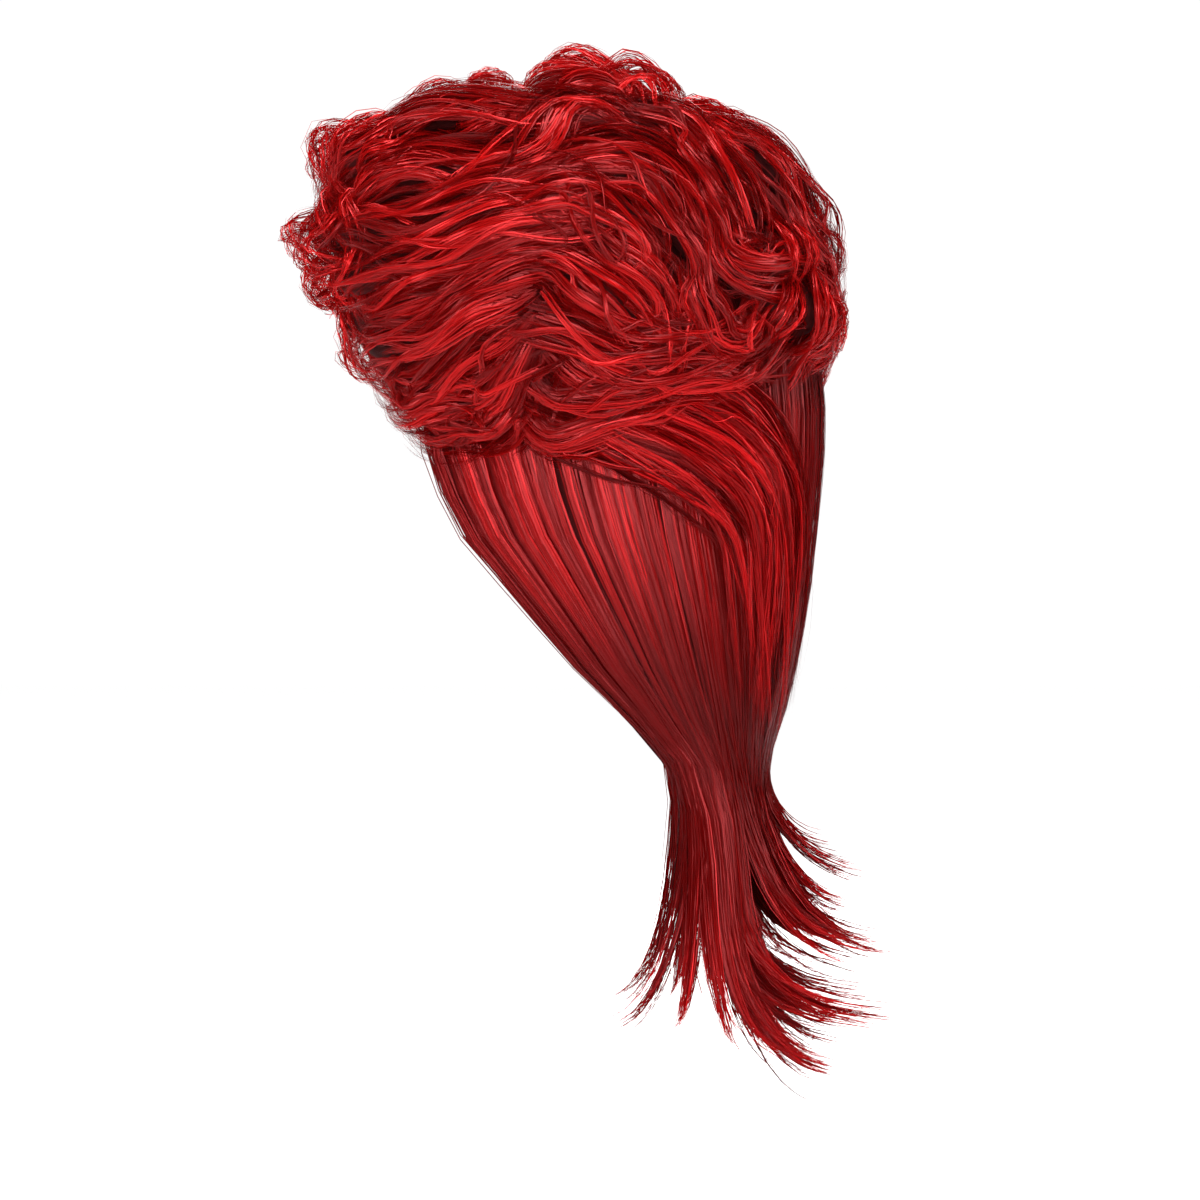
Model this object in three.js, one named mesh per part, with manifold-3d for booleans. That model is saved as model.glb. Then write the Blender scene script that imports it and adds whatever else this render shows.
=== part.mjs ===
// A mullet wig: a thin head cap that carries a high dome of curls in front, on top and at the sides,
// smooth panels that sweep back from the temples, a straight fall behind the neck and a flicked tail.
// Millimetres, +Z up. The brow is at -Y and the left side at +X. The origin is the point inside the
// cap where the crown of the head touches it.
import * as THREE from "three";
import { mergeVertices } from "three/addons/utils/BufferGeometryUtils.js";
import Module from "manifold-3d";

const wasm = await Module();
wasm.setup();

// Cap, measured inside
const CAP_LENGTH = 196;
const CAP_WIDTH = 154;
const CAP_GIRTH_DROP = 112;
const CAP_WALL = 1.8;
const BROW_DROP = 58;
const TEMPLE_DROP = 120;
const EAR_DROP = 97;
const NAPE_DROP = 162;
const NAPE_TUCK = 17;
const JAW_TAPER = 0.08;

// Head and neck room that the hair keeps clear of
const NECK_WIDTH = 112;
const NECK_DEPTH = 114;
const NECK_SETBACK = 15;

// Running gap between neighbouring pieces
const PIECE_GAP = 0.3;

// How far the dome of curls stands off the cap
const HAIR_OVER_BROW = 41;
const HAIR_BEHIND = 68;
const HAIR_ON_TOP = 97;
const HAIR_AT_SIDE = 41;
const DOME_SETBACK = 13;
const DOME_MIDDLE_DROP = 25;
const DOME_SKIRT = 130;
const BED_SHARE = 0.87;
const BED_THINNEST = 4;
const BED_OVERHANG = 4;

// One lock of the dome
const LOCK_WIDTH = 38;
const LOCK_DEPTH = 17;
const LOCK_LIFT = 0.94;
const SKIRT_SHARE = 0.78;

// Where the dome is parted into its pieces
const FRINGE_LINE = 72;
const SIDE_LINE = 46;
const BACK_LINE = 58;

// Fall of straight hair: side panels and back
const FALL_TOP_DROP = 66;
const FALL_LENGTH = 246;
const FALL_HAIR = 8;
const FALL_WALL = 11;
const FALL_EDGE_WALL = 4;
const FALL_REACH = 160;
const FALL_RIPPLE = 1.1;
const FRONT_EDGE_TURN = 34;
const PANEL_SHARE = 0.52;

// Smooth layer that is swept over each side panel
const SWEPT_WIDTH = 44;
const SWEPT_DEPTH = 7;

// Flicked tail, below the fall
const FLICK_WIDTH = 29;
const FLICK_DEPTH = 11;
const TAIL_SHEET = 6;
const TAIL_SHEET_RUN = 0.5;
const TAIL_FLARE = 0.3;
const FLICK_CURL = 2.4;
const FLICK_DRAPE = 1.6;

// Flicks of the fall itself, which stand proud of it and part above the waist
const OUTER_FLICK_DROP = 92;
const OUTER_FLICK_REACH = 62;
const OUTER_FLICK_PROUD = 3;
const OUTER_FLICK_ROOT_RISE = 50;

// Upper layer of the tail, which parts at the waist
const UPPER_TAIL_DROP = 118;
const UPPER_TAIL_REACH = 84;
const UPPER_TAIL_INSET = 6;

// Lower layer of the tail, which parts above the waist
const LOWER_TAIL_DROP = 152;
const LOWER_TAIL_REACH = 70;
const LOWER_TAIL_INSET = 16;
const LOWER_TAIL_ROOT_RISE = 30;

// Facets
const AROUND_CAP = 20;
const DOWN_CAP = 6;
const LOCK_SIDES = 3;
const LOCK_STEPS = 5;
const PANEL_COLUMNS = 6;
const FALL_COLUMNS = 10;

const FAR = 900;
const LEFT = 1;
const RIGHT = -1;

// Sizes that follow from the ones above
const capFront = CAP_LENGTH / 2;
const capSide = CAP_WIDTH / 2;
const domeFront = capFront + HAIR_OVER_BROW + DOME_SETBACK;
const domeBack = capFront + HAIR_BEHIND - DOME_SETBACK;
const domeTop = HAIR_ON_TOP + DOME_MIDDLE_DROP;
const domeSide = capSide + HAIR_AT_SIDE;
const fallHalf = capSide + FALL_HAIR;
const waistDrop = FALL_TOP_DROP + FALL_LENGTH;

// The cap's lower edge, round from the brow (0) to the nape (1)
const CAP_EDGE = [
  { around: 0, drop: BROW_DROP },
  { around: 0.16, drop: BROW_DROP + 0.12 * (TEMPLE_DROP - BROW_DROP) },
  { around: 0.34, drop: TEMPLE_DROP },
  { around: 0.52, drop: EAR_DROP },
  { around: 0.72, drop: EAR_DROP + 0.62 * (NAPE_DROP - EAR_DROP) },
  { around: 1, drop: NAPE_DROP },
];

// Locks of the dome's sides. Each point is [along, up]: along is a share of the dome's reach, -1 at
// the front and 1 at the back, and up a share of its height, 1 at the top and -1 at the skirt.
const SIDE_LOCKS = [
  { piece: "side", root: [0.18, 0.46], rise: [-0.14, 0.39], fall: [-0.5, 0.33], tip: [-0.86, 0.28],
    wide: 1 },
  { piece: "side", root: [0.11, 0.25], rise: [-0.25, 0.15], fall: [-0.57, -0.03], tip: [-0.85, 0],
    wide: 1 },
  { piece: "side", root: [-0.1, 0.01], rise: [-0.36, -0.14], fall: [-0.61, -0.29], tip: [-0.78, -0.24],
    wide: 0.9 },
  { piece: "side", root: [-0.14, -0.14], rise: [-0.36, -0.37], fall: [-0.6, -0.52], tip: [-0.8, -0.44],
    wide: 0.9 },
  { piece: "side", root: [-0.09, -0.31], rise: [-0.19, -0.54], fall: [-0.41, -0.71], tip: [-0.68, -0.66],
    wide: 1.1 },
  { piece: "side", root: [-0.25, 0.24], rise: [0.04, 0.37], fall: [0.26, 0.17], tip: [0.2, -0.1],
    wide: 1 },
  { piece: "side", root: [-0.03, 0.51], rise: [0.29, 0.51], fall: [0.49, 0.17], tip: [0.45, -0.2],
    wide: 1.2 },
  { piece: "side", root: [-0.19, 0.07], rise: [0.08, -0.03], fall: [0.29, -0.29], tip: [0.63, -0.16],
    wide: 0.9 },
  { piece: "side", root: [-0.12, -0.2], rise: [0.11, -0.39], fall: [0.44, -0.37], tip: [0.8, -0.24],
    wide: 1 },
  { piece: "side", root: [-0.19, -0.46], rise: [0, -0.6], fall: [0.33, -0.52], tip: [0.8, -0.48],
    wide: 1 },
  { piece: "crown", root: [0.11, 0.67], rise: [-0.25, 0.76], fall: [-0.61, 0.68], tip: [-0.82, 0.5],
    wide: 0.9 },
  { piece: "back", root: [0.33, 0.71], rise: [0.56, 0.39], fall: [0.72, 0.08], tip: [0.83, -0.22],
    wide: 1 },
];

// Locks that make the dome's outline, repeated across the head at the shares of its width in spread
const RIM_LOCKS = [
  { piece: "fringe", root: [-0.47, 0.69], rise: [-0.72, 0.74], fall: [-0.96, 0.64], tip: [-0.93, 0.36],
    wide: 0.8, spread: [0, 0.38] },
  { piece: "fringe", root: [-0.56, 0.4], rise: [-0.81, 0.42], fall: [-1, 0.28], tip: [-0.97, 0.06],
    wide: 0.8, spread: [0.2, 0.56] },
  { piece: "fringe", root: [-0.5, 0.04], rise: [-0.77, 0], fall: [-0.83, -0.24], tip: [-0.76, -0.5],
    wide: 0.9, spread: [0, 0.38] },
  { piece: "crown", root: [-0.03, 0.73], rise: [-0.25, 0.87], fall: [-0.47, 0.84], tip: [-0.66, 0.71],
    wide: 0.9, spread: [0, 0.38] },
  { piece: "crown", root: [-0.25, 0.8], rise: [-0.05, 1], fall: [0.22, 0.99], tip: [0.46, 0.78],
    wide: 1.1, spread: [0.2, 0.56] },
  { piece: "crown", root: [0.29, 0.72], rise: [0.52, 0.76], fall: [0.73, 0.63], tip: [0.86, 0.34],
    wide: 1, spread: [0, 0.4] },
  { piece: "back", root: [0.62, 0.57], rise: [0.82, 0.35], fall: [0.98, 0.07], tip: [1, -0.18],
    wide: 1, spread: [0.2, 0.56] },
  { piece: "back", root: [0.8, 0.1], rise: [0.98, -0.08], fall: [1, -0.32], tip: [0.95, -0.56],
    wide: 1.1, spread: [0, 0.38] },
];

// Sections of the fall, from under the curls (0) to its lower end (1). front, middle and back are
// shares of its reach behind the seat, and half is a share of its half width.
const FALL_SECTIONS = [
  { down: 0, front: -0.38, middle: 0.16, back: 0.95, half: 0.98 },
  { down: 0.11, front: -0.4, middle: 0.18, back: 0.97, half: 0.99 },
  { down: 0.25, front: -0.385, middle: 0.2, back: 0.965, half: 1 },
  { down: 0.4, front: -0.285, middle: 0.26, back: 0.94, half: 0.98 },
  { down: 0.55, front: -0.095, middle: 0.34, back: 0.915, half: 0.95 },
  { down: 0.7, front: 0.096, middle: 0.42, back: 0.87, half: 0.91 },
  { down: 0.82, front: 0.256, middle: 0.48, back: 0.83, half: 0.86 },
  { down: 0.93, front: 0.4, middle: 0.54, back: 0.76, half: 0.78 },
  { down: 1, front: 0.43, middle: 0.56, back: 0.73, half: 0.74 },
];

// Locks of the swept layer on the fall. Each point is [round, down]: round runs from the panel's
// front edge (0) to the middle of the back (1), and down as in the sections above.
const SWEPT_LOCKS = [
  { root: [0.1, 0.15], rise: [0.27, 0.26], fall: [0.45, 0.4], tip: [0.53, 0.74], wide: 0.8 },
  { root: [0.2, 0.12], rise: [0.38, 0.21], fall: [0.54, 0.36], tip: [0.6, 0.7], wide: 1 },
  { root: [0.32, 0.1], rise: [0.5, 0.17], fall: [0.64, 0.32], tip: [0.69, 0.64], wide: 1 },
];

// Flicks of the tail in layers, from the outer one in. Each column stands at a turn round the
// section that the fall ends in, 90 in the middle of the back and -30 at a front edge. swing is how
// far the tip goes out and drop how far it falls, shares of the named reach and drop of its layer.
// root is the drop below the waist at which a layer's flicks part.
const OUTER_COLUMNS = [
  { turn: 90, swing: 0.96, drop: 0.9 }, { turn: 70, swing: 0.8, drop: 0.62 },
  { turn: 52, swing: 1, drop: 1 }, { turn: 36, swing: 0.7, drop: 0.74 },
  { turn: 14, swing: 0.5, drop: 0.9 }, { turn: -8, swing: -0.16, drop: 1.3 },
  { turn: -18, swing: -0.5, drop: 1.32 },
];
const UPPER_COLUMNS = [
  { turn: 90, swing: 0.86, drop: 0.8 }, { turn: 72, swing: 1, drop: 0.98 },
  { turn: 54, swing: 0.86, drop: 0.68 }, { turn: 36, swing: 0.84, drop: 0.94 },
  { turn: 18, swing: 0.6, drop: 0.84 },
];
const LOWER_COLUMNS = [
  { turn: 90, swing: 0.8, drop: 0.86 }, { turn: 66, swing: 0.66, drop: 0.97 },
  { turn: 42, swing: 0.9, drop: 0.82 }, { turn: 20, swing: 0.3, drop: 0.94 },
  { turn: 0, swing: 0.05, drop: 0.88 },
];
const TAIL_LAYERS = [
  { name: "fall_flicks", drop: OUTER_FLICK_DROP, reach: OUTER_FLICK_REACH, inset: -OUTER_FLICK_PROUD,
    root: -OUTER_FLICK_ROOT_RISE, columns: OUTER_COLUMNS },
  { name: "tail_upper", drop: UPPER_TAIL_DROP, reach: UPPER_TAIL_REACH, inset: UPPER_TAIL_INSET,
    root: 0, columns: UPPER_COLUMNS },
  { name: "tail_lower", drop: LOWER_TAIL_DROP, reach: LOWER_TAIL_REACH, inset: LOWER_TAIL_INSET,
    root: -LOWER_TAIL_ROOT_RISE, columns: LOWER_COLUMNS },
];
const PANEL_TURN = 30;

const HAIR_RED = new THREE.MeshStandardMaterial({ color: 0x9c0a12, roughness: 0.38, metalness: 0 });
const DEEP_RED = new THREE.MeshStandardMaterial({ color: 0x6d080d, roughness: 0.45, metalness: 0 });
const CAP_NET = new THREE.MeshStandardMaterial({ color: 0x3a1214, roughness: 0.85, metalness: 0 });

const lerp = THREE.MathUtils.lerp;
const smooth = (x) => THREE.MathUtils.smoothstep(x, 0, 1);

/** A closed solid from shared points and triangles. */
function solidFrom(points, triangles) {
  const geometry = new THREE.BufferGeometry().setFromPoints(points).setIndex(triangles);
  const merged = mergeVertices(geometry, 1e-4);
  const mesh = new wasm.Mesh({
    numProp: 3,
    vertProperties: merged.attributes.position.array,
    triVerts: Uint32Array.from(merged.index.array),
  });
  return new wasm.Manifold(mesh);
}

/** The value of a table's column at a share between its rows, eased between neighbouring rows. */
function rowValue(rows, key, column, share) {
  const at = THREE.MathUtils.clamp(share, rows[0][key], rows[rows.length - 1][key]);
  const next = Math.max(1, rows.findIndex((row) => row[key] >= at));
  const [before, after] = [rows[next - 1], rows[next]];
  const part = (at - before[key]) / (after[key] - before[key]);
  return lerp(before[column], after[column], part);
}

/** A solid lofted through closed rings of points, with a fan at each end. */
function tubeSolid(rings, endPoint) {
  const sides = rings[0].length;
  const points = rings.flat();
  const triangles = [];
  for (let ring = 0; ring + 1 < rings.length; ring += 1) {
    for (let side = 0; side < sides; side += 1) {
      const next = (side + 1) % sides;
      const [a, b] = [ring * sides + side, ring * sides + next];
      triangles.push(a, b, b + sides, a, b + sides, a + sides);
    }
  }
  const start = points.push(centreOf(rings[0])) - 1;
  const end = points.push(endPoint ?? centreOf(rings[rings.length - 1])) - 1;
  const last = (rings.length - 1) * sides;
  for (let side = 0; side < sides; side += 1) {
    const next = (side + 1) % sides;
    triangles.push(start, next, side, end, last + side, last + next);
  }
  return solidFrom(points, triangles);
}

/** The middle of a ring of points. */
function centreOf(ring) {
  return ring.reduce((sum, p) => sum.add(p), new THREE.Vector3()).divideScalar(ring.length);
}

/** A dome-shaped wall between an outer and an inner surface, each a pole and rings below it. */
function domeWall(outer, inner) {
  const sides = outer.rings[0].length;
  const points = [outer.pole, ...outer.rings.flat(), inner.pole, ...inner.rings.flat()];
  const innerPole = 1 + outer.rings.length * sides;
  const triangles = [];
  const rows = outer.rings.length;
  for (const [pole, facing] of [[0, 1], [innerPole, -1]]) {
    const corner = (row, side) => pole + 1 + row * sides + (side % sides);
    const add = (a, b, c) => triangles.push(...(facing > 0 ? [a, b, c] : [a, c, b]));
    for (let side = 0; side < sides; side += 1) {
      add(pole, corner(0, side), corner(0, side + 1));
      for (let row = 0; row + 1 < rows; row += 1) {
        add(corner(row, side), corner(row + 1, side), corner(row + 1, side + 1));
        add(corner(row, side), corner(row + 1, side + 1), corner(row, side + 1));
      }
    }
  }
  const [outerEdge, innerEdge] = [1 + (rows - 1) * sides, innerPole + 1 + (rows - 1) * sides];
  for (let side = 0; side < sides; side += 1) {
    const next = (side + 1) % sides;
    triangles.push(outerEdge + side, innerEdge + side, innerEdge + next);
    triangles.push(outerEdge + side, innerEdge + next, outerEdge + next);
  }
  return solidFrom(points, triangles);
}

/** A sheet with walls on all sides, from matching rows of outer and inner points. */
function sheetSolid(outerRows, innerRows) {
  const columns = outerRows[0].length;
  const rows = outerRows.length;
  const points = [...outerRows.flat(), ...innerRows.flat()];
  const out = (row, column) => row * columns + column;
  const inn = (row, column) => rows * columns + row * columns + column;
  const triangles = [];
  const quad = (a, b, c, d) => triangles.push(a, b, c, a, c, d);
  for (let row = 0; row + 1 < rows; row += 1) {
    for (let column = 0; column + 1 < columns; column += 1) {
      quad(out(row, column), out(row + 1, column), out(row + 1, column + 1), out(row, column + 1));
      quad(inn(row, column), inn(row, column + 1), inn(row + 1, column + 1), inn(row + 1, column));
    }
    quad(out(row, 0), inn(row, 0), inn(row + 1, 0), out(row + 1, 0));
    const end = columns - 1;
    quad(out(row, end), out(row + 1, end), inn(row + 1, end), inn(row, end));
  }
  for (let column = 0; column + 1 < columns; column += 1) {
    const bottom = rows - 1;
    quad(out(0, column), out(0, column + 1), inn(0, column + 1), inn(0, column));
    quad(out(bottom, column), inn(bottom, column), inn(bottom, column + 1), out(bottom, column + 1));
  }
  const made = solidFrom(points, triangles);
  if (made.volume() > 0) return made;
  const turned = triangles.map((_, i) => triangles[i - (i % 3) + [0, 2, 1][i % 3]]);
  return solidFrom(points, turned);
}

/** A point on the head's surface, at an angle round from the brow and a height below the crown. */
function headPoint(angle, drop, offset) {
  const over = Math.min(drop, CAP_GIRTH_DROP);
  const round = Math.sqrt(Math.max(0, 1 - ((CAP_GIRTH_DROP - over) / CAP_GIRTH_DROP) ** 2));
  const below = Math.max(0, drop - CAP_GIRTH_DROP) / (NAPE_DROP - CAP_GIRTH_DROP);
  const tuck = NAPE_TUCK * below * below * Math.max(0, -Math.cos(angle));
  const x = capSide * (round - JAW_TAPER * below) * Math.sin(angle);
  const y = -capFront * (round - JAW_TAPER * below) * Math.cos(angle) - tuck;
  const normal = new THREE.Vector3(
    x / capSide ** 2, y / capFront ** 2, (CAP_GIRTH_DROP - over) / CAP_GIRTH_DROP ** 2,
  ).normalize();
  return { point: new THREE.Vector3(x, y, -drop).addScaledVector(normal, offset), normal };
}

/** The cap's lower edge at an angle round from the brow, as a drop below the crown. */
function edgeDrop(angle) {
  const around = Math.acos(Math.cos(angle)) / Math.PI;
  return rowValue(CAP_EDGE, "around", "drop", around);
}

/** A surface over the cap: its pole and rings, standing off by what offsetAt gives for each point. */
function overCap(offsetAt, overhang) {
  const top = headPoint(0, 0, 0);
  const crown = new THREE.Vector3(0, 0, 1);
  const pole = crown.clone().multiplyScalar(offsetAt(top.point, crown));
  const rings = [];
  for (let row = 1; row <= DOWN_CAP; row += 1) {
    const down = 1 - Math.cos((row / DOWN_CAP) * (Math.PI / 2));
    rings.push(Array.from({ length: AROUND_CAP }, (_, side) => {
      const angle = (side / AROUND_CAP) * 2 * Math.PI;
      const drop = down * (edgeDrop(angle) + overhang);
      const { point, normal } = headPoint(angle, drop, 0);
      return point.addScaledVector(normal, offsetAt(point, normal));
    }));
  }
  return { pole, rings };
}

/** The room for the head and neck, grown by a margin, which no hair may fill. */
function headRoom(margin) {
  const rings = [];
  const levels = 9;
  for (let row = 1; row <= levels; row += 1) {
    const drop = NAPE_DROP * (1 - Math.cos((row / levels) * (Math.PI / 2)));
    rings.push(Array.from({ length: AROUND_CAP }, (_, side) =>
      headPoint((side / AROUND_CAP) * 2 * Math.PI, drop, margin).point));
  }
  for (const drop of [NAPE_DROP + NAPE_TUCK, waistDrop + NECK_WIDTH]) {
    rings.push(Array.from({ length: AROUND_CAP }, (_, side) => {
      const angle = (side / AROUND_CAP) * 2 * Math.PI;
      const x = (NECK_WIDTH / 2) * Math.sin(angle);
      return new THREE.Vector3(x, NECK_SETBACK - (NECK_DEPTH / 2) * Math.cos(angle), -drop);
    }));
  }
  rings.unshift(rings[0].map((p) => p.clone().multiplyScalar(0.2).setZ(margin)));
  rings.forEach((ring) => ring.reverse());
  const cap = domeWall(overCap(() => margin, PIECE_GAP), overCap(() => -margin, PIECE_GAP));
  return fuse([tubeSolid(rings), cap]);
}

/** A point of the dome from its shares along, up and across, at a share of its full size. */
function domePoint(along, up, across, lift) {
  return new THREE.Vector3(
    domeSide * across * lift,
    DOME_SETBACK + (along < 0 ? domeFront : domeBack) * along * lift,
    -DOME_MIDDLE_DROP + (up < 0 ? DOME_SKIRT : domeTop) * up * lift,
  );
}

/** How far a ray from a point runs before it meets the bed's outer surface. */
function reachOfBed(point, direction) {
  let [near, far] = [0, HAIR_ON_TOP + HAIR_BEHIND];
  const inside = (distance) => {
    const p = point.clone().addScaledVector(direction, distance);
    const along = (p.y - DOME_SETBACK) / (p.y < DOME_SETBACK ? domeFront : domeBack);
    const up = (p.z + DOME_MIDDLE_DROP) / (p.z < -DOME_MIDDLE_DROP ? DOME_SKIRT : domeTop);
    return Math.hypot(along, up, p.x / domeSide) < BED_SHARE;
  };
  if (!inside(0)) return 0;
  for (let halving = 0; halving < 20; halving += 1) {
    const middle = (near + far) / 2;
    if (inside(middle)) near = middle;
    else far = middle;
  }
  return near;
}

/** A point on a smooth line through a lock's four points, at a share from root to tip. */
function alongLock(lock, share) {
  const line = new THREE.SplineCurve(
    [lock.root, lock.rise, lock.fall, lock.tip].map(([u, v]) => new THREE.Vector2(u, v)),
  );
  return line.getPoint(share);
}

/** A tapering lock along a route, which gives a place and an outward direction at each share. */
function lockSolid(route, width, depth, taper, grow) {
  const rings = [];
  const step = 0.01;
  for (let ring = 0; ring <= LOCK_STEPS; ring += 1) {
    const share = ring / (LOCK_STEPS + 0.35);
    const { place, outward } = route(share);
    const heading = route(share + step).place.sub(route(share - step).place).normalize();
    const aside = outward.clone().cross(heading).normalize();
    const out = heading.clone().cross(aside).normalize();
    const size = taper(share);
    if (ring === 0) place.addScaledVector(heading, -grow);
    rings.push(Array.from({ length: LOCK_SIDES }, (_, side) => {
      const turn = (side / LOCK_SIDES + 0.25) * 2 * Math.PI;
      return place.clone()
        .addScaledVector(aside, Math.cos(turn) * ((width / 2) * size + grow))
        .addScaledVector(out, Math.sin(turn) * ((depth / 2) * size + grow));
    }));
  }
  const tip = route(1).place;
  const last = tip.clone().sub(route(1 - step).place).normalize();
  return tubeSolid(rings, tip.addScaledVector(last, 2 * grow));
}

/** A lock's size along its length: fuller in the middle and thin at the tip. */
const curlTaper = (share) => 0.5 + 0.5 * Math.sin(Math.PI * Math.min(1, share + 0.15));
const flickTaper = (share) => 1 - 0.86 * Math.max(0, share) ** 2.2;

/** One lock of the dome, on one side of the head or at a share of its width. */
function domeLock(lock, across, grow) {
  const onSide = lock.spread === undefined;
  const narrowing = onSide ? 1 : Math.sqrt(1 - across ** 2);
  const route = (share) => {
    const { x, y } = alongLock(lock, THREE.MathUtils.clamp(share, 0, 1));
    const [along, up] = [x * narrowing, y * narrowing];
    const bulge = Math.sqrt(Math.max(0, 1 - x ** 2 - y ** 2));
    const skirt = y < 0 ? SKIRT_SHARE * Math.sqrt(1 - x ** 2) : 0.2;
    const side = onSide ? across * Math.max(bulge, skirt) : across;
    const outward = new THREE.Vector3(side / domeSide, along / domeFront, up / domeTop);
    return { place: domePoint(along, up, side, LOCK_LIFT), outward: outward.normalize() };
  };
  return lockSolid(route, LOCK_WIDTH * lock.wide, LOCK_DEPTH, curlTaper, grow);
}

/** The locks of one piece of the dome, with the side that each lies on. */
function locksOf(piece) {
  const [kind, only] = piece;
  const mine = (lock) => lock.piece === kind;
  const onSides = SIDE_LOCKS.filter(mine).flatMap((lock) =>
    (only ? [only] : [LEFT, RIGHT]).map((across) => ({ lock, across })));
  const onRim = RIM_LOCKS.filter(mine).flatMap((lock) =>
    lock.spread.flatMap((share) => (share === 0 ? [0] : [share, -share]))
      .map((across) => ({ lock, across })));
  return [...onSides, ...onRim];
}

/** A point of the fall: round from the left front edge (0) by the back (1) to the right one (2). */
function fallPoint(round, down, inset) {
  const side = round > 1 ? RIGHT : LEFT;
  const part = round > 1 ? 2 - round : round;
  const frontTurn = THREE.MathUtils.degToRad(FRONT_EDGE_TURN);
  const turn = lerp(-frontTurn, Math.PI / 2, part);
  const size = (column) => rowValue(FALL_SECTIONS, "down", column, down);
  const [front, middle, back] = ["front", "middle", "back"].map((c) => FALL_REACH * size(c));
  const half = fallHalf * size("half");
  const depth = turn < 0 ? (middle - front) / Math.sin(frontTurn) : back - middle;
  const point = new THREE.Vector3(
    side * half * Math.cos(turn), middle + depth * Math.sin(turn), -FALL_TOP_DROP - FALL_LENGTH * down,
  );
  const outward = new THREE.Vector3(
    side * Math.cos(turn) / half, Math.sin(turn) / depth, 0,
  ).normalize();
  return { point: point.addScaledVector(outward, -inset), outward };
}

/** The fall's wall at a share round from a front edge: thin at the edge, full towards the back. */
function fallWall(round) {
  const fromEdge = Math.min(round, 2 - round);
  return lerp(FALL_EDGE_WALL, FALL_WALL, smooth(fromEdge / 0.35));
}

/** A stretch of the fall between two shares round, grown on every face by a margin. */
function fallSheet(from, to, columns, grow) {
  const rows = [];
  const inner = [];
  for (const { down } of FALL_SECTIONS) {
    const length = fallHalf + FALL_REACH / 2;
    const [first, last] = [from - grow / length, to + grow / length];
    const stretched = down + (grow / FALL_LENGTH) * (2 * down - 1);
    const shares = Array.from({ length: columns + 1 }, (_, i) => lerp(first, last, i / columns));
    const lower = grow * (2 * down - 1);
    const place = (round, inset) => {
      const { point } = fallPoint(round, THREE.MathUtils.clamp(stretched, 0, 1), inset);
      return point.setZ(-FALL_TOP_DROP - FALL_LENGTH * down - lower);
    };
    const ripple = (column) => (column % 2 ? FALL_RIPPLE : -FALL_RIPPLE);
    rows.push(shares.map((round, column) => place(round, -grow - ripple(column))));
    inner.push(shares.map((round) => place(round, fallWall(round) + grow)));
  }
  return sheetSolid(rows, inner);
}

/** A place in a layer of the tail: round its section by a turn, and along its flick by a share. */
function tailPlace(layer, { turn, swing, drop }, side, share, inset = 0) {
  const at = THREE.MathUtils.clamp(share, 0, 1);
  const angle = THREE.MathUtils.degToRad(turn);
  const end = FALL_SECTIONS[FALL_SECTIONS.length - 1];
  const frontDepth = (end.middle - end.front) / Math.sin(THREE.MathUtils.degToRad(FRONT_EDGE_TURN));
  const depth = FALL_REACH * (turn < 0 ? frontDepth : end.back - end.middle);
  const [across, behind] = [fallHalf * end.half, depth].map((size) => size - layer.inset - inset);
  const spread = 1 + TAIL_FLARE * at ** 2;
  const down = layer.root + (layer.drop * drop - layer.root) * (1 - (1 - at) ** FLICK_DRAPE);
  return new THREE.Vector3(
    side * across * Math.cos(angle) * spread,
    FALL_REACH * end.middle + behind * Math.sin(angle) + layer.reach * swing * at ** FLICK_CURL,
    -waistDrop - down,
  );
}

/** One flick of the tail: down from the fall's lower end, then out to its tip. */
function flickSolid(layer, column, side, grow) {
  const angle = THREE.MathUtils.degToRad(column.turn);
  const outward = new THREE.Vector3(side * Math.cos(angle), Math.max(0.3, Math.sin(angle)), 0);
  const route = (share) => ({
    place: tailPlace(layer, column, side, share), outward: outward.clone().normalize(),
  });
  return lockSolid(route, FLICK_WIDTH, FLICK_DEPTH, flickTaper, grow);
}

/** The strip that joins the flicks of a layer behind their upper part. */
function tailSheet(layer, grow) {
  const columns = [...layer.columns.map((column) => ({ column, side: RIGHT })).reverse(),
    ...layer.columns.slice(1).map((column) => ({ column, side: LEFT }))];
  const shares = [0, 0.33, 0.66, 1].map((share) => share * TAIL_SHEET_RUN);
  const rows = (inset) => shares.map((share, row) => columns.map(({ column, side }) =>
    tailPlace(layer, column, side, share, inset).add(
      new THREE.Vector3(0, 0, row === 0 ? grow : row === shares.length - 1 ? -grow : 0))));
  return sheetSolid(rows(-TAIL_SHEET / 2 - grow), rows(TAIL_SHEET / 2 + grow));
}

/** The flicks of a layer, on the sides asked for and at the turns that belong to a piece. */
function tailLayer(layer, grow, sides = [LEFT, RIGHT], mine = () => true) {
  const columns = layer.columns.filter(mine);
  return fuse(columns.flatMap((column) =>
    (column.turn === 90 ? [LEFT] : sides).map((side) => flickSolid(layer, column, side, grow))));
}

/** The union of several solids. */
function fuse(solids) {
  return wasm.Manifold.union(solids);
}

/** The largest body of a solid, without the crumbs that a cut leaves beside it. */
function mainBody(solid) {
  return solid.decompose().reduce((best, body) => (body.volume() > best.volume() ? body : best));
}

/** A block between two corners, as a solid that cuts. */
function block(low, high) {
  const size = high.map((h, axis) => h - low[axis]);
  const geometry = new THREE.BoxGeometry(...size);
  geometry.translate(...low.map((l, axis) => l + size[axis] / 2));
  geometry.deleteAttribute("normal");
  geometry.deleteAttribute("uv");
  const merged = mergeVertices(geometry);
  return new wasm.Manifold(new wasm.Mesh({
    numProp: 3,
    vertProperties: merged.attributes.position.array,
    triVerts: Uint32Array.from(merged.index.array),
  }));
}

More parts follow.
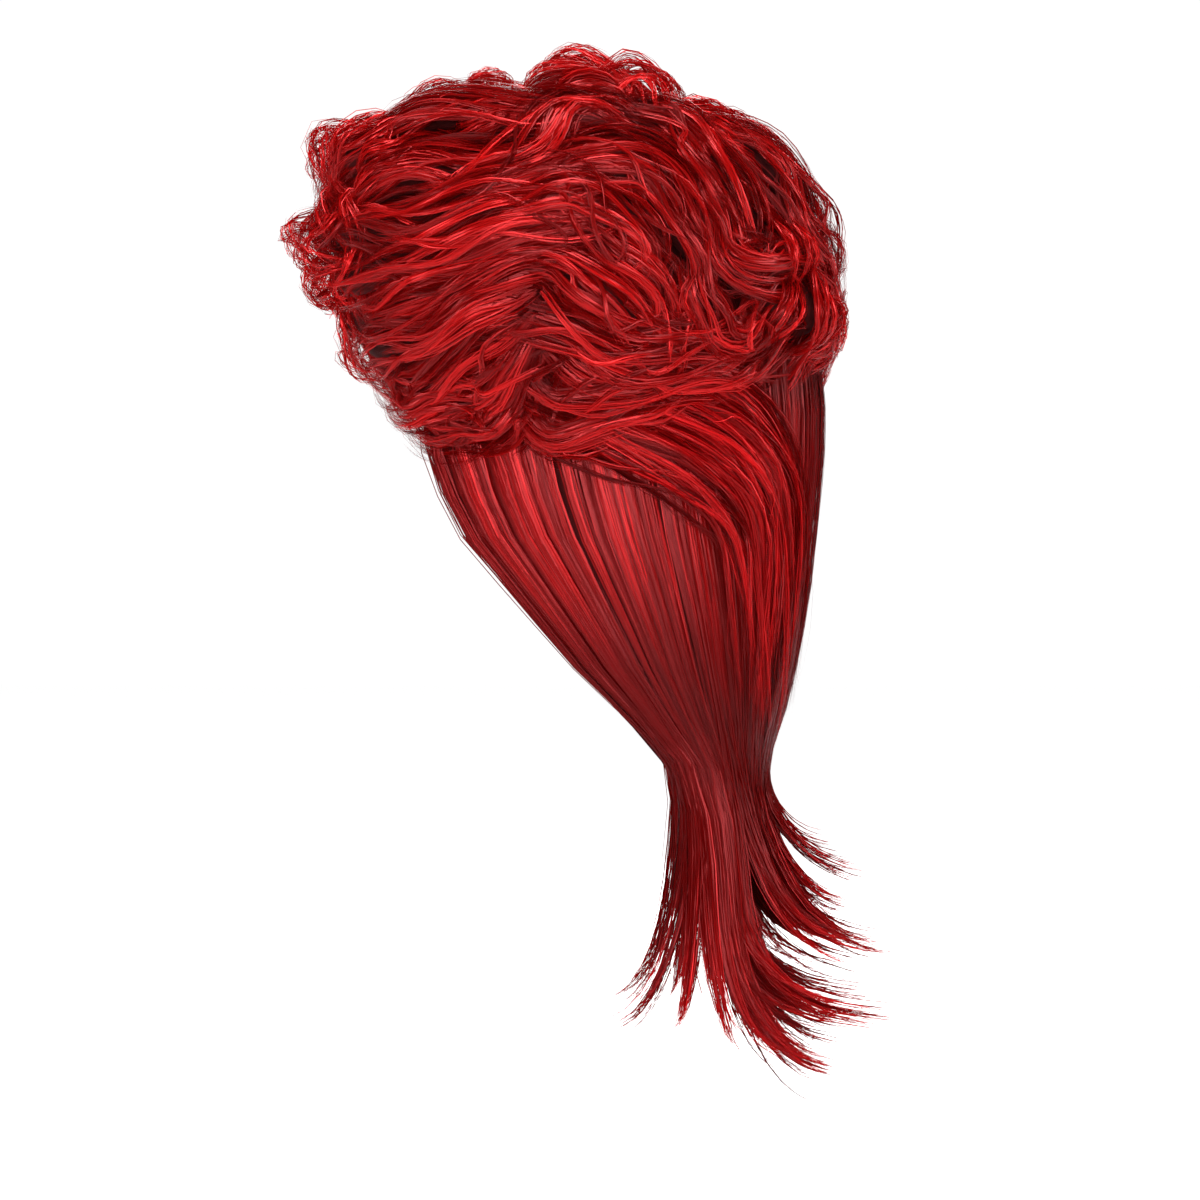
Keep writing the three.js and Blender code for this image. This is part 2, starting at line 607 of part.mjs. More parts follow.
/** A named mesh from a solid. */
function meshOf(name, solid, material) {
  const { vertProperties, triVerts, numProp, numVert } = solid.getMesh();
  const positions = new Float32Array(numVert * 3);
  for (let vertex = 0; vertex < numVert; vertex += 1) {
    positions.set(vertProperties.subarray(vertex * numProp, vertex * numProp + 3), vertex * 3);
  }
  const geometry = new THREE.BufferGeometry();
  geometry.setAttribute("position", new THREE.BufferAttribute(positions, 3));
  geometry.setIndex(new THREE.BufferAttribute(new Uint32Array(triVerts), 1));
  geometry.computeVertexNormals();
  const mesh = new THREE.Mesh(geometry, material);
  mesh.name = name;
  return mesh;
}

/** The head cap: a thin wall with a brow edge, temple tabs, ear notches and a nape. */
function makeCap() {
  return domeWall(overCap(() => CAP_WALL, 0), overCap(() => 0, 0));
}

/** Side panels and back fall, each with the flicks that its lower end runs out in. */
function fallPart(name, grow) {
  const seam = PIECE_GAP / (2 * (fallHalf + FALL_REACH / 2));
  const onPanel = ({ turn }) => turn < PANEL_TURN;
  if (name === "back_fall") {
    const sheet = fallSheet(PANEL_SHARE + seam, 2 - PANEL_SHARE - seam, FALL_COLUMNS, grow);
    return sheet.add(tailLayer(TAIL_LAYERS[0], grow, [LEFT, RIGHT], (column) => !onPanel(column)));
  }
  const side = name.endsWith("left") ? LEFT : RIGHT;
  const [from, to] = side === LEFT ? [0, PANEL_SHARE - seam] : [2 - PANEL_SHARE + seam, 2];
  const sheet = fallSheet(from, to, PANEL_COLUMNS, grow);
  return sheet.add(tailLayer(TAIL_LAYERS[0], grow, [side], onPanel));
}

/** The smooth layer over one side panel, lying on the fall. */
function sweptLayer(side, grow) {
  return fuse(SWEPT_LOCKS.map((lock) => {
    const route = (share) => {
      const { x: round, y: down } = alongLock(lock, THREE.MathUtils.clamp(share, 0, 1));
      const { point, outward } = fallPoint(side === LEFT ? round : 2 - round, down, -SWEPT_DEPTH / 3);
      return { place: point, outward };
    };
    return lockSolid(route, SWEPT_WIDTH * lock.wide, SWEPT_DEPTH * 2, curlTaper, grow);
  }));
}

/** The part of the bed over the cap that lies between two corners. */
function bedPart([low, high], grow) {
  const stand = CAP_WALL + PIECE_GAP;
  const outer = overCap((point, normal) =>
    grow + Math.max(stand + BED_THINNEST, reachOfBed(point, normal)), BED_OVERHANG);
  const bed = domeWall(outer, overCap(() => stand - grow, BED_OVERHANG));
  const corner = (values, sign) => values.map((value) => value + sign * grow);
  return bed.intersect(block(corner(low, -1), corner(high, 1)));
}

const DOME_GAP = PIECE_GAP / 2;
const DOME_PIECES = [
  { name: "side_curls_left", locks: ["side", LEFT],
    room: [[SIDE_LINE + DOME_GAP, -FRINGE_LINE + DOME_GAP, -FAR], [FAR, BACK_LINE - DOME_GAP, FAR]] },
  { name: "side_curls_right", locks: ["side", RIGHT],
    room: [[-FAR, -FRINGE_LINE + DOME_GAP, -FAR], [-SIDE_LINE - DOME_GAP, BACK_LINE - DOME_GAP, FAR]] },
  { name: "crown_curls", locks: ["crown"],
    room: [[-SIDE_LINE + DOME_GAP, -FRINGE_LINE + DOME_GAP, -FAR],
      [SIDE_LINE - DOME_GAP, BACK_LINE - DOME_GAP, FAR]] },
  { name: "fringe_curls", locks: ["fringe"],
    room: [[-FAR, -FAR, -FAR], [FAR, -FRINGE_LINE - DOME_GAP, FAR]] },
  { name: "back_curls", locks: ["back"],
    room: [[-FAR, BACK_LINE + DOME_GAP, -FAR], [FAR, FAR, FAR]] },
];

/** One piece of the dome: its part of the bed with its own locks. */
function domePiece(piece, grow) {
  const locks = locksOf(piece.locks).map(({ lock, across }) => domeLock(lock, across, grow));
  return fuse([bedPart(piece.room, grow), ...locks]);
}

/** Every piece of hair in the order in which they keep their form: later ones give way. */
function hairSolids() {
  const made = {};
  let taken = headRoom(CAP_WALL + PIECE_GAP);
  const place = (name, build) => {
    made[name] = mainBody(build(0).subtract(taken));
    taken = fuse([taken, build(PIECE_GAP), made[name]]);
  };
  for (const name of ["back_fall", "side_panel_left", "side_panel_right"]) {
    place(name, (grow) => fallPart(name, grow));
  }
  for (const layer of TAIL_LAYERS.slice(1)) {
    place(layer.name, (grow) => tailLayer(layer, grow).add(tailSheet(layer, grow)));
  }
  place("swept_layer_left", (grow) => sweptLayer(LEFT, grow));
  place("swept_layer_right", (grow) => sweptLayer(RIGHT, grow));
  for (const piece of DOME_PIECES) place(piece.name, (grow) => domePiece(piece, grow));
  return made;
}

const wig = new THREE.Group();
wig.name = "mullet_wig";
wig.add(meshOf("wig_cap", makeCap(), CAP_NET));
for (const [name, solid] of Object.entries(hairSolids())) {
  wig.add(meshOf(name, solid, name.startsWith("tail") ? DEEP_RED : HAIR_RED));
}

export default wig;
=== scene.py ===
"""A red mullet wig, dressed: curled dome, smooth panels, straight fall and flicked tail in fine fibre."""

import logging
import math
from dataclasses import dataclass
from enum import Enum

import bpy
import numpy as np
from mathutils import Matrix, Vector


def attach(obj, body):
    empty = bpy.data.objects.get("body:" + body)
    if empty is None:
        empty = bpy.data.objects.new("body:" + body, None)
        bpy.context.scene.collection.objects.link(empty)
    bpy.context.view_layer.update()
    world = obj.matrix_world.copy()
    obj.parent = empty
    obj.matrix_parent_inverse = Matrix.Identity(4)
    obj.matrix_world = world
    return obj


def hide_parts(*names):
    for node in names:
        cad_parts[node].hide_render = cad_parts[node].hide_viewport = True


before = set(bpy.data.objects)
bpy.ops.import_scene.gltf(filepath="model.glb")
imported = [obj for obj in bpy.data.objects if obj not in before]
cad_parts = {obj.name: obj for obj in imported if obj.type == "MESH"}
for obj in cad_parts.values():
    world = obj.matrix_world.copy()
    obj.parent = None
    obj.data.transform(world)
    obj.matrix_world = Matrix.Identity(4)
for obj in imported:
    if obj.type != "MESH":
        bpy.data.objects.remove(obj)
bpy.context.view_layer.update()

LOG = logging.getLogger("mullet_wig")
Array = np.ndarray
Colour = tuple[float, float, float, float]
Pair = tuple[float, float]


class Side(Enum):
    """The two sides of the head, as the sign of X."""

    LEFT = 1
    RIGHT = -1


class Slot(Enum):
    """The material slots of the record."""

    CURLY = "curly_hair"
    STRAIGHT = "straight_hair"
    TAIL = "tail_hair"
    NET = "cap_net"


class Weight(Enum):
    """How full a lock is: combed full, a loose curl at the outline, or a thin lock gone astray."""

    FULL = "full"
    LOOSE = "loose"
    STRAY = "stray"


class Region(Enum):
    """The pieces that the dome of curls is parted into."""

    SIDE = "side"
    CROWN = "crown"
    FRINGE = "fringe"
    BACK = "back"


def unit(vectors: Array) -> Array:
    """Vectors of length one."""
    return vectors / np.maximum(np.linalg.norm(vectors, axis=-1, keepdims=True), 1e-9)


def smoothstep(values: Array) -> Array:
    """An ease from 0 to 1 over values from 0 to 1."""
    clipped = np.clip(values, 0, 1)
    return clipped * clipped * (3 - 2 * clipped)


def smooth_line(points: Array, shares: Array) -> Array:
    """Points on a smooth line through given points.

    Args:
        points: The points that the line passes, in order, one a row.
        shares: Places along the line, from 0 at its first point to 1 at its last.

    Returns:
        One point for each share.
    """
    last = len(points) - 1
    at = np.clip(shares, 0, 1) * last
    cell = np.minimum(at.astype(int), last - 1)
    t = (at - cell)[..., None]
    before, start = points[np.maximum(cell - 1, 0)], points[cell]
    end, after = points[cell + 1], points[np.minimum(cell + 2, last)]
    leave, arrive = (end - before) / 2, (after - start) / 2
    cubic = (2 * start - 2 * end + leave + arrive) * t**3
    square = (-3 * start + 3 * end - 2 * leave - arrive) * t**2
    return cubic + square + leave * t + start


@dataclass
class Route:
    """The middle line of a lock, with the directions across it and away from the head.

    Attributes:
        place: Points along the line.
        aside: The direction across the lock at each point.
        out: The direction away from the head at each point.
    """

    place: Array
    aside: Array
    out: Array

    @classmethod
    def along(cls, place: Array, outward: Array) -> "Route":
        """A route along points, with an outward direction given at each.

        Args:
            place: Points along the lock, root first.
            outward: A rough outward direction at each point.

        Returns:
            The route, with its directions square to each other.
        """
        ahead = unit(np.gradient(place, axis=0))
        aside = unit(np.cross(outward, ahead))
        return cls(place, aside, unit(np.cross(ahead, aside)))

    def at(self, share: Array) -> tuple[Array, Array, Array]:
        """The place and directions at shares of the route.

        Args:
            share: Shares along the route, of any shape.

        Returns:
            Place, aside and out, each with one more axis than the shares.
        """
        knots = np.linspace(0, 1, len(self.place))

        def pick(values: Array) -> Array:
            """Values at the shares, axis by axis."""
            return np.stack([np.interp(share, knots, values[:, axis]) for axis in range(3)], axis=-1)

        return pick(self.place), unit(pick(self.aside)), unit(pick(self.out))


@dataclass(frozen=True)
class Comb:
    """How a lock is combed out into wisps and strands, in metres.

    Attributes:
        wisps: Wisps in the lock.
        strands: Strands in each wisp.
        width: Width of the lock where it is fullest.
        depth: Depth of the lock where it is fullest.
        root_share: Share of the full width at the root.
        tip_share: Share of the full width at the tip.
        wisp_radius: Radius of a wisp at its root.
        wisp_tip: Share of that radius left at its tip.
        wave: How far a wisp waves to each side.
        waves: Waves along the lock.
        frizz: How far one strand strays from its wisp.
        fibre: Width of a strand.
        shortest: Share of the lock's length that its shortest wisps reach.
        twist: How far, in radians, the strands' flat sides turn from one to the next.
        bright: Height in the lock that is added to every strand, as painted light.
        steps: Segments of a strand.
    """

    wisps: int
    strands: int
    width: float
    depth: float
    root_share: float = 0.5
    tip_share: float = 0.3
    wisp_radius: float = 0.0034
    wisp_tip: float = 0.3
    wave: float = 0.002
    waves: float = 1.5
    frizz: float = 0.0006
    fibre: float = 0.0006
    shortest: float = 0.72
    twist: float = 0.18
    bright: float = 0.0
    steps: int = 15


@dataclass
class Strands:
    """Many strands at once.

    Attributes:
        centres: Points along each strand.
        facing: The direction that each strand's flat side faces, at each point.
        widths: Width of each strand at each point.
        shade: Chance of the strand, chance of its wisp, and height in the lock, at each point; the height
            is painted as light and shade.
    """

    centres: Array
    facing: Array
    widths: Array
    shade: Array


FREE_SHARE = 0.09
FREE_STRAY = 3.6
FREE_WIDTH = 0.6
TIP_THINNING = 0.86


def fibre_widths(fibre: float, count: int, steps: int, rng: np.random.Generator) -> Array:
    """Widths along strands that thin out to a point.

    Args:
        fibre: Full width of a strand.
        count: Number of strands.
        steps: Segments of a strand.
        rng: The source of chance.

    Returns:
        One width for each point of each strand.
    """
    local = np.linspace(0, 1, steps + 1)
    taper = 1 - TIP_THINNING * local**5
    return fibre * rng.uniform(0.7, 1.2, count)[:, None] * taper[None]


def stray(amount: float, count: int, steps: int, rng: np.random.Generator) -> Array:
    """Slow random bends along strands.

    Args:
        amount: Size of the bends.
        count: Number of strands.
        steps: Segments of a strand.
        rng: The source of chance.

    Returns:
        One offset for each point of each strand.
    """
    local = np.linspace(0, 1, steps + 1)[None]
    total = np.zeros((count, steps + 1))
    for pace, size in ((1.1, 1.0), (2.3, 0.6), (4.1, 0.3)):
        start = rng.uniform(0, 2 * math.pi, (count, 1))
        speed = rng.uniform(0.7, 1.3, (count, 1)) * pace
        total += size * np.sin(2 * math.pi * speed * local + start)
    return amount * total * (0.35 + local)


def comb_out(route: Route, comb: Comb, rng: np.random.Generator) -> Strands:
    """Combs a lock out into strands.

    Args:
        route: The lock's middle line.
        comb: How it is combed.
        rng: The source of chance.

    Returns:
        The lock's strands.
    """
    wisp = np.repeat(np.arange(comb.wisps), comb.strands)
    count = len(wisp)
    seat = rng.permutation(np.linspace(-1, 1, comb.wisps)) + rng.uniform(-0.1, 0.1, comb.wisps)
    rise = np.sqrt(np.clip(1.05 - seat**2, 0, 1)) * rng.uniform(0, 1, comb.wisps) ** 0.6
    start = rng.uniform(0, 0.12, comb.wisps)[wisp] + rng.uniform(0, 0.05, count)
    short = (1 - comb.shortest) * rng.uniform(0, 1, comb.wisps)[wisp] ** 1.4
    end = 1 - short - rng.uniform(0, 0.08, count)
    local = np.linspace(0, 1, comb.steps + 1)[None]
    share = start[:, None] + (end - start)[:, None] * local
    place, aside, out = route.at(share)
    full = np.interp(share, (0, 0.3, 0.62, 1), (comb.root_share, 1, 1, comb.tip_share))
    phase = rng.uniform(0, 2 * math.pi, (2, comb.wisps))[:, wisp, None]
    pace = 2 * math.pi * comb.waves * rng.uniform(0.7, 1.3, comb.wisps)[wisp, None]
    sway = comb.wave * (0.35 + share) * np.sin(pace * share + phase[0])
    lift = 0.6 * comb.wave * (0.35 + share) * np.sin(pace * share + phase[1])
    tight = 1 + (comb.wisp_tip - 1) * local**1.2
    ring, turn = np.sqrt(rng.uniform(0, 1, count)), rng.uniform(0, 2 * math.pi, count)
    u, v = ring * np.cos(turn), ring * np.sin(turn)
    across = seat[wisp, None] * comb.width / 2 * full + sway + u[:, None] * comb.wisp_radius * tight
    away = rise[wisp, None] * comb.depth / 2 * full + lift + v[:, None] * comb.wisp_radius * tight
    free = rng.uniform(0, 1, count) < FREE_SHARE
    loose = np.where(free, FREE_STRAY, 1.0)[:, None]
    across = across + loose * stray(comb.frizz, count, comb.steps, rng)
    away = away + loose * stray(comb.frizz, count, comb.steps, rng)
    centres = place + aside * across[..., None] + out * away[..., None]
    lean = (0.85 * seat[wisp] + 0.5 * u + rng.normal(0, comb.twist, count))[:, None, None]
    facing = out * np.cos(lean) + aside * np.sin(lean)
    # Height in the lock, which the finish paints as light and shade: painted shade deep in the lock and at
    # the roots by the bed, painted light from the lift; lighter towards the tips.
    height = 0.15 + comb.bright + 0.6 * rise[wisp, None] + 0.2 * v[:, None] + 0.15 * local
    height = np.clip(height, 0, 1)
    height = height * (0.45 + 0.55 * smoothstep(share / 0.22))
    shade = np.stack([
        np.repeat(rng.uniform(0, 1, count)[:, None], comb.steps + 1, axis=1),
        np.repeat(rng.uniform(0, 1, comb.wisps)[wisp, None], comb.steps + 1, axis=1),
        height,
    ], axis=-1)
    widths = fibre_widths(comb.fibre, count, comb.steps, rng)
    return Strands(centres, facing, widths * np.where(free, FREE_WIDTH, 1.0)[:, None], shade)


class HairMesh:
    """Collects strands and backing forms, and joins them into one mesh."""

    def __init__(self, name: str) -> None:
        """Starts an empty mesh with the name of its piece."""
        self.name = name
        self.points: list[Array] = []
        self.shades: list[Array] = []
        self.uvs: list[Array] = []
        self.quads: list[Array] = []
        self.count = 0

    def add(self, points: Array, shades: Array, uvs: Array, quads: Array) -> None:
        """Adds points, with their shades and texture places, and the faces between them."""
        self.points.append(points.reshape(-1, 3))
        self.shades.append(shades.reshape(-1, 3))
        self.uvs.append(uvs.reshape(-1, 2))
        self.quads.append(quads.reshape(-1, 4) + self.count)
        self.count += len(self.points[-1])

    def add_strands(self, strands: Strands) -> None:
        """Adds each strand as a thin flat fibre.

        Args:
            strands: The strands to add.
        """
        centres = strands.centres
        ahead = np.gradient(centres, axis=1)
        aside = unit(np.cross(strands.facing, ahead)) * strands.widths[..., None] / 2
        points = np.stack([centres - aside, centres + aside], axis=2)
        rows, steps = centres.shape[:2]
        run = np.cumsum(np.linalg.norm(ahead, axis=-1), axis=1)
        chance = strands.shade[..., :1] * 40
        uvs = np.stack([np.broadcast_to(chance, (rows, steps, 2)) + (0, 0.02),
                        np.repeat(run[..., None], 2, axis=2)], axis=-1)
        shades = np.repeat(strands.shade[:, :, None], 2, axis=2)
        first = (np.arange(rows)[:, None] * steps + np.arange(steps - 1)[None]) * 2
        quads = np.stack([first, first + 1, first + 3, first + 2], axis=-1)
        self.add(points, shades, uvs, quads)

    def add_grid(self, grid: Array, tone: float, wrap: bool) -> None:
        """Adds a backing form from rows of points.

        Args:
            grid: Points by row and column.
            tone: Its height in the lock, dark at 0, which the finish paints as shade.
            wrap: Whether the last column joins the first, with a lid on each end.
        """
        rows, columns = grid.shape[:2]
        run = np.cumsum(np.linalg.norm(np.gradient(grid, axis=0), axis=-1), axis=0)
        along = np.broadcast_to(np.linspace(0, 20, columns)[None], (rows, columns))
        shades = np.broadcast_to(np.array([0.3, 0.3, tone]), (rows, columns, 3))
        right = (np.arange(columns) + 1) % columns if wrap else np.arange(1, columns)
        left = np.arange(columns) if wrap else np.arange(columns - 1)
        upper = np.arange(rows - 1)[:, None] * columns
        lower = upper + columns
        quads = np.stack([upper + left, lower + left, lower + right, upper + right], axis=-1)
        quads = quads.reshape(-1, 4)
        if wrap:
            near = np.arange(columns // 2 - 1)
            far = columns - 1 - near
            lid = np.stack([near, near + 1, far - 1, far], axis=-1)
            quads = np.concatenate([quads, lid, lid[:, ::-1] + (rows - 1) * columns])
        self.add(grid, shades, np.stack([along, run], axis=-1), quads)

    def add_faces(self, points: Array, quads: Array, tone: float) -> None:
        """Adds a backing form from points and four-sided faces, at one height in the lock."""
        shades = np.broadcast_to(np.array([0.3, 0.3, tone]), points.shape)
        self.add(points, shades, points[:, 1:] * 30, quads)

    def make(self, material: bpy.types.Material, slot: Slot, nodes: tuple[str, ...]) -> bpy.types.Object:
        """Joins what was collected into a piece that stands for nodes of the frame.

        Args:
            material: The finish of the piece.
            slot: The material slot of the piece; not used.
            nodes: The nodes that it stands for.

        Returns:
            The finished piece.
        """
        points, shades = np.concatenate(self.points), np.concatenate(self.shades)
        uvs, quads = np.concatenate(self.uvs), np.concatenate(self.quads)
        mesh = bpy.data.meshes.new(self.name)
        mesh.vertices.add(len(points))
        mesh.vertices.foreach_set("co", points.astype(np.float32).ravel())
        mesh.loops.add(quads.size)
        mesh.loops.foreach_set("vertex_index", quads.astype(np.int32).ravel())
        mesh.polygons.add(len(quads))
        mesh.polygons.foreach_set("loop_start", np.arange(0, quads.size, 4, dtype=np.int32))
        mesh.polygons.foreach_set("use_smooth", np.ones(len(quads), bool))
        layer = mesh.uv_layers.new(name="along_hair")
        layer.data.foreach_set("uv", uvs[quads.ravel()].astype(np.float32).ravel())
        tint = mesh.color_attributes.new(name="shade", type="FLOAT_COLOR", domain="POINT")
        colours = np.column_stack([shades, np.ones(len(shades))])
        tint.data.foreach_set("color", colours.astype(np.float32).ravel())
        mesh.update(calc_edges=True)
        mesh.materials.append(material)
        piece = bpy.data.objects.new(self.name, mesh)
        bpy.context.scene.collection.objects.link(piece)
        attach(piece, "root")
        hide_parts(*nodes)
        LOG.info("%s: %d faces, stands for %s", self.name, len(quads), ", ".join(nodes))
        return piece


class NodeBench:
    """A material's nodes, added and joined one by one."""

    def __init__(self, name: str) -> None:
        """Starts a material without nodes."""
        self.material = bpy.data.materials.new(name)
        self.material.use_nodes = True
        self.tree = self.material.node_tree
        self.tree.nodes.clear()

    def add(self, kind: str, settings: dict | None = None, **inputs: object) -> bpy.types.Node:
        """Adds a node.

        Args:
            kind: The node's type, without its common first word.
            settings: Properties of the node.
            **inputs: Its inputs by name, each a value or the output that feeds it.

        Returns:
            The node.
        """
        node = self.tree.nodes.new("ShaderNode" + kind)
        for key, value in (settings or {}).items():
            setattr(node, key, value)
        for key, value in inputs.items():
            socket = node.inputs[int(key[1:])] if key[1:].isdigit() else node.inputs[key.replace("_", " ")]
            if isinstance(value, bpy.types.NodeSocket):
                self.tree.links.new(value, socket)
            else:
                socket.default_value = value
        return node

    def ramp(self, factor: bpy.types.NodeSocket, stops: tuple[tuple[float, Colour], ...]) -> bpy.types.Node:
        """Adds a ramp of colours over a factor."""
        node = self.add("ValToRGB", Fac=factor)
        elements = node.color_ramp.elements
        while len(elements) < len(stops):
            elements.new(0.5)
        for element, (at, colour) in zip(elements, stops):
            element.position = at
            element.color = colour
        return node

    def math(self, operation: str, *values: object) -> bpy.types.NodeSocket:
        """Adds a sum over numbers or outputs and gives its result."""
        inputs = {f"i{index}": value for index, value in enumerate(values)}
        return self.add("Math", {"operation": operation}, **inputs).outputs[0]

    def finish(self, surface: bpy.types.NodeSocket) -> bpy.types.Material:
        """Ends the material with its surface."""
        self.add("OutputMaterial", Surface=surface)
        return self.material


@dataclass(frozen=True)
class FibreFinish:
    """Glossy dyed fibre, with painted shade deeper in the hollows and painted light on the crests.

    Attributes:
        name: Name of the material.
        painted_hollow_shade: Colour painted as shade deep in the hair.
        body: Colour of most of the hair.
        painted_crest_light: Colour of its outermost strands, as painted light.
        roughness: Roughness of the fibre.
        lustre: Strength of its reflection.
        index: Its index of refraction.
        gleam: Tint of its reflection.
        sheen: Share of its reflection that takes the dye's own colour.
        glow: Colour of the light that comes through it.
        thinness: Share of the light that comes through.
    """

    name: str
    painted_hollow_shade: Colour
    body: Colour
    painted_crest_light: Colour
    roughness: float = 0.30
    lustre: float = 0.75
    index: float = 1.28
    gleam: Colour = (1.0, 0.55, 0.58, 1.0)
    sheen: float = 0.30
    glow: Colour = (0.62, 0.006, 0.006, 1.0)
    thinness: float = 0.12

    def material(self) -> bpy.types.Material:
        """The material, with streaks that run along the fibre."""
        bench = NodeBench(self.name)
        shade = bench.add("Attribute", {"attribute_name": "shade"})
        parts = bench.add("SeparateColor", Color=shade.outputs["Color"])
        chance, wisp, height = (parts.outputs[index] for index in range(3))
        place = bench.add("UVMap", {"uv_map": "along_hair"})
        stretch = bench.add("Mapping", Vector=place.outputs[0], Scale=(9.0, 14.0, 1.0))
        streaks = bench.add("TexNoise", Vector=stretch.outputs[0], Scale=2.2, Detail=3.0)
        # The tone paints light and shade from the height in the lock: painted shade deep in the hair,
        # painted light on its top; chance, wisp and streaks add random tone.
        tone = bench.math("MULTIPLY", height, 0.62)
        tone = bench.math("ADD", tone, bench.math("MULTIPLY", chance, 0.16))
        tone = bench.math("ADD", tone, bench.math("MULTIPLY", wisp, 0.16))
        tone = bench.math("ADD", tone, bench.math("MULTIPLY", streaks.outputs[0], 0.18))
        tone = bench.math("SUBTRACT", tone, 0.10)
        colour = bench.ramp(tone, ((0.08, self.painted_hollow_shade), (0.55, self.body), (0.95, self.painted_crest_light)))
        dull = bench.add("MapRange", Value=tone, i1=0.1, i2=0.42, i3=0.75, i4=self.roughness - 0.08)
        rough = bench.math("ADD", dull.outputs[0], bench.math("MULTIPLY", streaks.outputs[0], 0.16))
        fine = bench.add("Mapping", Vector=place.outputs[0], Scale=(60.0, 30.0, 1.0))
        grain = bench.add("TexNoise", Vector=fine.outputs[0], Scale=3.0, Detail=2.0)
        bump = bench.add("Bump", Height=grain.outputs[0], Strength=0.2, Distance=0.0003)
        surface = bench.add(
            "BsdfPrincipled", Base_Color=colour.outputs[0], Roughness=rough, Normal=bump.outputs[0],
            Specular_IOR_Level=self.lustre, Specular_Tint=self.gleam, IOR=self.index, Metallic=self.sheen,
        )
        through = bench.add("BsdfTranslucent", Color=self.glow)
        mixed = bench.add("MixShader", i0=self.thinness, i1=surface.outputs[0], i2=through.outputs[0])
        return bench.finish(mixed.outputs[0])


@dataclass(frozen=True)
class NetFinish:
    """Elastic net of the cap, with the rows of stitching that the hair hangs from.

    Attributes:
        name: Name of the material.
        thread: Colour of the net's threads.
        ground: Colour between the threads.
        mesh: Meshes of the net for each metre.
        rows: Rows of stitching for each metre.
    """

    name: str = "cap_net"
    thread: Colour = (0.10, 0.012, 0.016, 1.0)
    ground: Colour = (0.022, 0.004, 0.006, 1.0)
    mesh: float = 420.0
    rows: float = 110.0

    def material(self) -> bpy.types.Material:
        """The material, woven from two directions of thread under stitched rows."""
        bench = NodeBench(self.name)
        place = bench.add("TexCoord")
        net = bench.add("TexVoronoi", {"feature": "DISTANCE_TO_EDGE"}, Vector=place.outputs["Object"],
                        Scale=self.mesh)
        rows = bench.add("TexWave", {"bands_direction": "Z"}, Vector=place.outputs["Object"],
                         Scale=self.rows / 6, Distortion=1.5, Detail=1.0)
        threads = bench.ramp(net.outputs[0], ((0.04, self.thread), (0.16, self.ground)))
        stitched = bench.ramp(rows.outputs["Fac"], ((0.75, (0, 0, 0, 1)), (0.92, self.thread)))
        mixed = bench.add("Mix", {"data_type": "RGBA", "blend_type": "ADD"}, i0=1.0,
                          i6=threads.outputs[0], i7=stitched.outputs[0])
        relief = bench.math("ADD", net.outputs[0], rows.outputs["Fac"])
        bump = bench.add("Bump", Height=relief, Strength=0.5, Distance=0.0006)
        rough = bench.math("ADD", 0.7, bench.math("MULTIPLY", rows.outputs["Fac"], 0.15))
        surface = bench.add("BsdfPrincipled", Base_Color=mixed.outputs[2], Roughness=rough,
                            Normal=bump.outputs[0])
        return bench.finish(surface.outputs[0])


@dataclass(frozen=True)
class PaleFinish:
    """Plain pale paint of the studio floor, with a trace of unevenness."""

    name: str = "studio_floor"
    light: Colour = (0.93, 0.93, 0.93, 1.0)
    dark: Colour = (0.90, 0.90, 0.90, 1.0)
    glow: float = 0.95

    def material(self) -> bpy.types.Material:
        """The material of the floor."""
        bench = NodeBench(self.name)
        noise = bench.add("TexNoise", Scale=3.0, Detail=4.0)
        colour = bench.ramp(noise.outputs[0], ((0.3, self.dark), (0.7, self.light)))
        seen = bench.add("LightPath").outputs["Is Camera Ray"]
        glow = bench.math("MULTIPLY", seen, self.glow)
        surface = bench.add("BsdfPrincipled", Base_Color=colour.outputs[0], Roughness=0.8,
                            Emission_Color=self.light, Emission_Strength=glow)
        return bench.finish(surface.outputs[0])


CURL_FINISH = FibreFinish(
    "curl_fibre", roughness=0.21, painted_hollow_shade=(0.010, 0.0003, 0.0002, 1), body=(0.21, 0.0014, 0.0014, 1),
    painted_crest_light=(0.60, 0.006, 0.006, 1),
)
# The fall and tail fibres are darker than the curls, as painted shade on the lower hair.
FALL_FINISH = FibreFinish(
    "fall_fibre", roughness=0.22, painted_hollow_shade=(0.014, 0.0004, 0.0003, 1), body=(0.120, 0.0008, 0.0009, 1),
    painted_crest_light=(0.52, 0.004, 0.005, 1), lustre=0.5,
)
TAIL_FINISH = FibreFinish(
    "tail_fibre", roughness=0.24, painted_hollow_shade=(0.014, 0.0003, 0.0002, 1), body=(0.075, 0.0005, 0.0006, 1),
    painted_crest_light=(0.46, 0.003, 0.003, 1), lustre=0.3,
)


# Tones of the bed, the lock and flick hearts and the sheets behind the fall: dark, as painted shade deep in
# the hair.
BED_PAINTED_SHADE = 0.05
CORE_PAINTED_SHADE = 0.06
FLICK_PAINTED_SHADE = 0.14
SHEET_PAINTED_SHADE = 0.10
CORE_SIDES = 8


